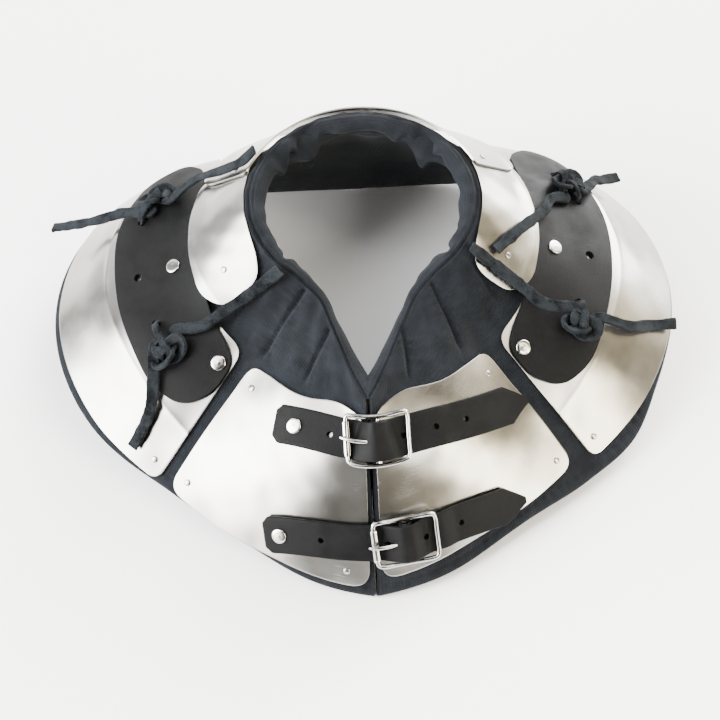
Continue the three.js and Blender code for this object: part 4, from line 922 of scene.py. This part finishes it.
for name, strap in STRAPS.items():
    line, bar = lines[name], strap["bar"]
    inside = np.abs(line["at"] - bar) < BUCKLE_LONG / 2
    chord = unit(line["point"][inside][-1] - line["point"][inside][0])
    square = square_to(line["down"][inside].mean(0), chord)

    def spots(rows):
        at, high, down = np.array(rows, float).T
        return beside(line, bar + at, high, 0) + square * down[:, None]

    loop = LOOP + [(at, high, -down) for at, high, down in LOOP[::-1]]
    across = spots([(0, BAR_HIGH, d) for d in (0.9 - RAIL, 0, RAIL - 0.9)])
    frame_parts = [wire(spots(loop), WIRE / 2, True), wire(across, BAR_WIRE)]
    settle(joined_tubes(f"buckle_{name}_frame", frame_parts), NICKEL, f"buckle_frame_{name}")

    # The roller is rolled from sheet, so it has a seam and slightly rounded ends.
    half_long = RAIL - 4.6
    way = spots([(ROLLER_AT, ROLLER_HIGH, d) for d in np.linspace(-half_long, half_long, 33)])[:, None]
    up, foot, beyond = spots([(0, 9, 0), (0, 0, 0), (0, 0, 1)])
    rings = sweep(way[:, 0], round_section(ROLLER / 2, 28), up - foot)
    size = np.interp(np.linspace(0, 1, 33), [0, 0.03, 0.97, 1], [0.86, 1, 1, 0.86])
    rings = way + (rings - way) * size[:, None, None]
    rings[:, 9] = way[:, 0] + (rings[:, 9] - way[:, 0]) * 0.84
    settle(tube(f"buckle_{name}_roller", rings), NICKEL, f"buckle_roller_{name}")

    t = np.linspace(0, 2 * math.pi, 12, endpoint=False)
    eye = spots(np.stack([EYE_RING * np.cos(t), BAR_HIGH + EYE_RING * np.sin(t), 0 * t], -1))
    prong = [wire(spots(PRONG), PRONG_WIRE, taper=([0, 0.75, 0.95, 1], [1, 1, 0.8, 0.5])),
             (sweep(eye, round_section(EYE_WIRE, 10), beyond - foot, True), True)]
    settle(joined_tubes(f"buckle_{name}_prong", prong), NICKEL, f"buckle_prong_{name}")

# %% [markdown]
# ## Rivets
# A rivet head is a profile turned round its pin. All heads of one kind go into one mesh,
# worked out as whole arrays: a table of places and ways out, and one profile.

# %% Rivets
# (radius, height) from the foot of the pin to the top of the head
BIG = [(0.4, -3.0), (2.0, -3.0), (2.0, -0.1), (4.6, 0), (4.95, 0.25), (4.95, 0.6), (4.7, 0.95),
       (4.1, 1.12), (2.6, 1.2), (0.3, 1.22)]
SMALL = [(0.3, -1.8), (1.1, -1.8), (1.1, -0.1), (2.1, 0), (2.2, 0.2), (2.0, 0.45), (1.5, 0.62),
         (0.8, 0.7), (0.2, 0.71)]
# turn and share; the single ones also have the height of their plate's foot
PATCH_RIVETS = [(52.5, 0.475), (86.5, 0.41)]
CHEST_RIVETS = [(39, 0.43), (42, 0.9), (5.2, 0.905)]
SINGLE_RIVETS = {"shoulder": (50.5, 0.91, PLATE_FOOT), "collar": (75.5, 0.195, float(collar_foot(0.195))),
                 "collar_back": (119, 0.11, float(back_foot(0.11)))}
big, small = [], []
for name, strap in STRAPS.items():
    line = lines[name]
    near = np.argmin(np.linalg.norm(line["point"] - cape(*strap["places"][1], STRAP_FOOT), axis=1))
    way = line["out"][near]
    big.append((f"rivet_strap_{name}", line["point"][near] + way * (STRAP_THICK + 0.3), way))
for side in ("left", "right"):
    for k, (turn, share) in enumerate(on_side(side, PATCH_RIVETS)):
        place = cape(turn, share, PATCH_TOP + 0.2)
        big.append((f"rivet_patch_{side}_{k + 1}", place, outward(turn, share)))
    chest = on_side(side, CHEST_RIVETS, drawn_in)
    rows = [(f"rivet_chest_{side}_{k + 1}", *row, PLATE_FOOT) for k, row in enumerate(chest)]
    rows += [(f"rivet_{key}_{side}", *on_side(side, [row])[0]) for key, row in SINGLE_RIVETS.items()]
    for name, turn, share, foot in rows:
        small.append((name, cape(turn, share, foot + PLATE_THICK + 0.05), outward(turn, share)))
KINDS = [("big_rivet_heads", big, BIG, NICKEL), ("small_rivet_heads", small, SMALL, STEEL)]
for name, heads, profile, slot in KINDS:
    names, places, ways = zip(*heads)
    settle(turned(name, places, ways, profile, 32, [0.21, 0.13, 0.4]), slot, *names)

# %% [markdown]
# ## Finishes
# Each finish is a small tree of nodes on the piece's own coordinates. A short helper adds
# one node and links what goes into it, so that a finish reads as a list of layers.

# %% Node helper
class Nodes:
    """A node tree that grows by a line at a time."""

    def __init__(self, tree):
        self.tree = tree

    def add(self, kind, settings=None, **inputs):
        """A node with its settings. An input is called by its name, or by its number as
        in i0, and is given a socket to link or a plain value."""
        node = self.tree.nodes.new(kind)
        for key, value in (settings or {}).items():
            setattr(node, key, value)
        for key, value in inputs.items():
            socket = node.inputs[int(key[1:]) if key[1:].isdigit() else key.replace("_", " ")]
            if isinstance(value, bpy.types.NodeSocket):
                self.tree.links.new(value, socket)
            else:
                socket.default_value = value
        return node

    def work_out(self, operation, *values):
        """One step of arithmetic on up to three values."""
        inputs = {f"i{k}": value for k, value in enumerate(values)}
        return self.add("ShaderNodeMath", dict(operation=operation), **inputs).outputs[0]

    def sum(self, a, b, share=1.0):
        return self.work_out("MULTIPLY_ADD", b, share, a)

    def ramp(self, value, stops, kind="LINEAR"):
        """A colour for each place of the value; a new ramp has its two ends already."""
        ramp = self.add("ShaderNodeValToRGB", Fac=value)
        band = ramp.color_ramp
        band.interpolation = kind
        last = len(stops) - 1
        for k, (place, color) in enumerate(stops):
            stop = band.elements.new(place) if 0 < k < last else band.elements[0 if k == 0 else -1]
            stop.position, stop.color = place, (*color, 1)
        return ramp.outputs[0]


class Finish(Nodes):
    """A material, with the plain values that its layers start from."""

    def __init__(self, name, color, rough, metal=0.0, specular=0.5, sheen=0.0):
        self.made = bpy.data.materials.new(name)
        self.made.use_nodes = True
        self.made.diffuse_color = (*color, 1)
        super().__init__(self.made.node_tree)
        self.skin = self.tree.nodes["Principled BSDF"]
        values = {"Base Color": (*color, 1), "Roughness": rough, "Metallic": metal,
                  "Specular IOR Level": specular, "Sheen Weight": sheen}
        for socket, value in values.items():
            self.skin.inputs[socket].default_value = value

    def place(self, scale, flat=False):
        """Object coordinates or the flat map, stretched by a number or by one for each axis."""
        coords = self.add("ShaderNodeTexCoord").outputs["UV" if flat else "Object"]
        scale = scale if isinstance(scale, tuple) else (scale, scale, scale)
        return self.add("ShaderNodeMapping", Vector=coords, Scale=scale).outputs[0]

    def noise(self, scale, detail=4.0, rough=0.55, flat=False):
        return self.add("ShaderNodeTexNoise", Vector=self.place(scale, flat), Scale=1.0, Detail=detail,
                        Roughness=rough).outputs[0]

    def span(self, value, low, high, at=(0.3, 0.7)):
        """A value stretched from the range at onto low to high."""
        return self.add("ShaderNodeMapRange", Value=value, From_Min=at[0], From_Max=at[1],
                        To_Min=low, To_Max=high).outputs[0]

    def tint(self, value, dark, light, at=(0.3, 0.7)):
        self.set("Base Color", self.ramp(value, [(at[0], dark), (at[1], light)]))

    def relief(self, height, mm, strength):
        bump = self.add("ShaderNodeBump", Height=height, Distance=mm * MM, Strength=strength)
        self.set("Normal", bump.outputs[0])

    def set(self, socket, value):
        self.tree.links.new(value, self.skin.inputs[socket])


# %% [markdown]
# ### Steel
# The sheet was brushed along its length and then handled: long fine scratches, a cloudy
# mottle in the roughness where fingers have been, and a slight warm and cool shift.

# %% Brushed steel
steel = Finish("brushed_steel", (0.29, 0.28, 0.265), 0.28, 1.0)
cloud = steel.noise(26, 3)
streak = steel.noise((40, 1500, 1), 3, 0.6, flat=True)
speck = steel.noise(900, 2)
steel.tint(cloud, (0.245, 0.237, 0.22), (0.335, 0.327, 0.31))
steel.set("Roughness", steel.span(steel.sum(cloud, streak, 0.5), 0.19, 0.29, (0.5, 1.0)))
steel.relief(steel.sum(streak, speck, 0.35), 0.006, 0.12)

# %% [markdown]
# ### Nickel
# The buckles and the big rivets are plated and bright. Their shine varies a little, and a
# fine ripple keeps the reflections from looking drawn with a ruler.

# %% Bright nickel
nickel = Finish("bright_nickel", (0.42, 0.415, 0.4), 0.13, 1.0)
nickel.set("Roughness", nickel.span(nickel.noise(240, 3), 0.09, 0.19))
nickel.relief(nickel.noise(700, 2), 0.02, 0.4)

# %% [markdown]
# ### Leather, suede and cotton
# Smooth leather has a pebble grain of cells with fine creases over it. Suede is the same
# hide turned over: no grain, a short nap that scatters light, and dust in it. The cotton
# is a plain weave, two crossed waves finer than a millimetre, over a mottled dye.

# %% Leather, suede and cotton
leather = Finish("black_leather", (0.008, 0.008, 0.0085), 0.5, specular=0.07)
cells = leather.add("ShaderNodeTexVoronoi", dict(feature="DISTANCE_TO_EDGE"), Vector=leather.place(1.0),
                    Scale=620.0).outputs[0]
wear = leather.noise(60, 5, 0.6)
crease = leather.noise(300, 5, 0.7)
leather.tint(wear, (0.0015, 0.0016, 0.0017), (0.0041, 0.0042, 0.0044))
leather.set("Roughness", leather.span(wear, 0.44, 0.66))
leather.relief(leather.sum(leather.span(cells, 0, 1, (0.0, 0.25)), crease, 0.8), 0.1, 0.4)

suede = Finish("suede", (0.03, 0.033, 0.038), 0.92, specular=0.05, sheen=0.015)
nap = suede.noise(900, 5, 0.7)
dust = suede.noise(120, 4)
suede.tint(suede.sum(dust, nap, 0.8), (0.0012, 0.0016, 0.002), (0.0115, 0.0138, 0.016), (0.7, 1.0))
suede.relief(suede.sum(nap, dust, 0.8), 0.5, 0.8)

cotton = Finish("navy_cotton", (0.03, 0.037, 0.052), 0.88, specular=0.08, sheen=0.03)
warp, weft = (cotton.add("ShaderNodeTexWave", dict(bands_direction=way), Scale=210.0, Distortion=1.2,
                         Vector=cotton.place(1.0, flat=True)).outputs[1] for way in "XY")
dye = cotton.noise(70, 5, 0.6)
lint = cotton.noise(1200, 3)
rumple = cotton.noise(120, 3)
cotton.tint(cotton.sum(dye, lint, 0.35), (0.0031, 0.0038, 0.005), (0.0085, 0.0103, 0.0132), (0.45, 0.9))
cotton.relief(cotton.sum(cotton.sum(warp, weft), rumple, 2.2), 0.25, 0.6)

for slot, finish in {STEEL: steel, NICKEL: nickel, LEATHER: leather, SUEDE: suede, CLOTH: cotton}.items():
    for piece in PIECES[slot]:
        piece.data.materials.clear()
        piece.data.materials.append(finish.made)
    print(slot, len(PIECES[slot]))

# %% [markdown]
# ## Floor and light
# Steel shows whatever is round it, so the light is made for its reflections. The room is
# a world of upright bands, bright windows and dark walls, cool on the left and warm on
# the right, that dims towards the ceiling. One lamp adds a glint. The floor is pale.

# %% Floor, lamp and room
FLOOR_HALF, FLOOR_LEVEL, ROOM_STRENGTH = 4000, -0.05, 27.0
corners = [(x * FLOOR_HALF, y * FLOOR_HALF, FLOOR_LEVEL) for x, y in ((-1, -1), (1, -1), (1, 1), (-1, 1))]
floor = put_mesh("floor", corners, [[[0, 1, 2, 3]]])
floor.data.materials.append(Finish("pale_paper", (0.95, 0.95, 0.95), 0.9).made)
floor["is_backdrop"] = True

light = bpy.data.lights.new("key_panel", "AREA")
light.shape, light.size, light.energy, light.color = "SQUARE", 0.5, 14, (1.0, 0.98, 0.95)
lamp_at = np.array([0.9, -1.1, 1.5])
z = unit(lamp_at - [0, 0, 0.05])
x = unit(np.cross([0, 1, 0.01], z))
add_object("key_panel", light, np.stack([x, np.cross(z, x), z], 1), lamp_at)

# degrees round from the front (left is negative), brightness and warmth of the room
ROOM = [(-180, 0.05, 0), (-157, 0.05, 0), (-146, 0.2, -0.04), (-134, 0.12, -0.02), (-122, 0.03, 0),
        (-112, 0.04, 0),
        (-104, 0.25, -0.05), (-95, 1.3, 0), (-62, 1.5, 0), (-52, 0.5, 0.02), (-44, 0.05, 0.06),
        (-30, 0.01, 0.08),
        (-14, 0.016, 0.06), (5, 0.01, 0.12), (28, 0.013, 0.4), (46, 0.028, 0.4), (52, 0.3, 0.2),
        (57, 1.3, 0.15),
        (62, 0.6, 0.25), (72, 0.16, 0.32), (82, 0.014, 0.35), (93, 0.03, 0.4), (99, 0.03, 0.35),
        (106, 0.14, 0.3),
        (117, 0.22, 0.12), (124, 0.8, 0.03), (134, 1.2, 0), (150, 1.6, 0), (159, 0.5, 0), (167, 0.1, 0),
        (180, 0.05, 0)]
# place on the way up from straight down to straight up, brightness and warmth
CEILING = [(0, 1, 0), (0.75, 1, 0), (0.82, 0.8, 0), (0.89, 0.35, 0), (1, 0.25, 0)]
world = bpy.data.worlds.new("studio")
bpy.context.scene.world = world
world.use_nodes = True
room = Nodes(world.node_tree)


def room_ramp(value, rows):
    """A warm row has more red and less blue; the bands are eased into each other."""
    stops = [(place, (b * (1 + 0.5 * warm), b, b * (1 - warm))) for place, b, warm in rows]
    return room.ramp(value, stops, "EASE")


way = room.add("ShaderNodeSeparateXYZ", i0=room.add("ShaderNodeTexCoord").outputs["Generated"]).outputs
angle = room.work_out("ARCTAN2", way[0], room.work_out("MULTIPLY", way[1], -1.0))
around = room_ramp(room.work_out("MULTIPLY_ADD", angle, 1 / (2 * math.pi), 0.5),
                   [((a + 180) / 360, b, warm) for a, b, warm in ROOM])
above = room_ramp(room.work_out("MULTIPLY_ADD", way[2], 0.5, 0.5), CEILING)
both = room.add("ShaderNodeMix", dict(data_type="RGBA", blend_type="MULTIPLY"), i0=1.0, i6=around, i7=above)
background = world.node_tree.nodes["Background"]
world.node_tree.links.new(both.outputs[2], background.inputs["Color"])
background.inputs["Strength"].default_value = ROOM_STRENGTH

# %% [markdown]
# ## The end
# The box of this model is printed, so that a piece that has grown shows at once.

# %% The box and the end
low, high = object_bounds()
print("visual box", [round(float(v), 4) for v in (*low, *high)])
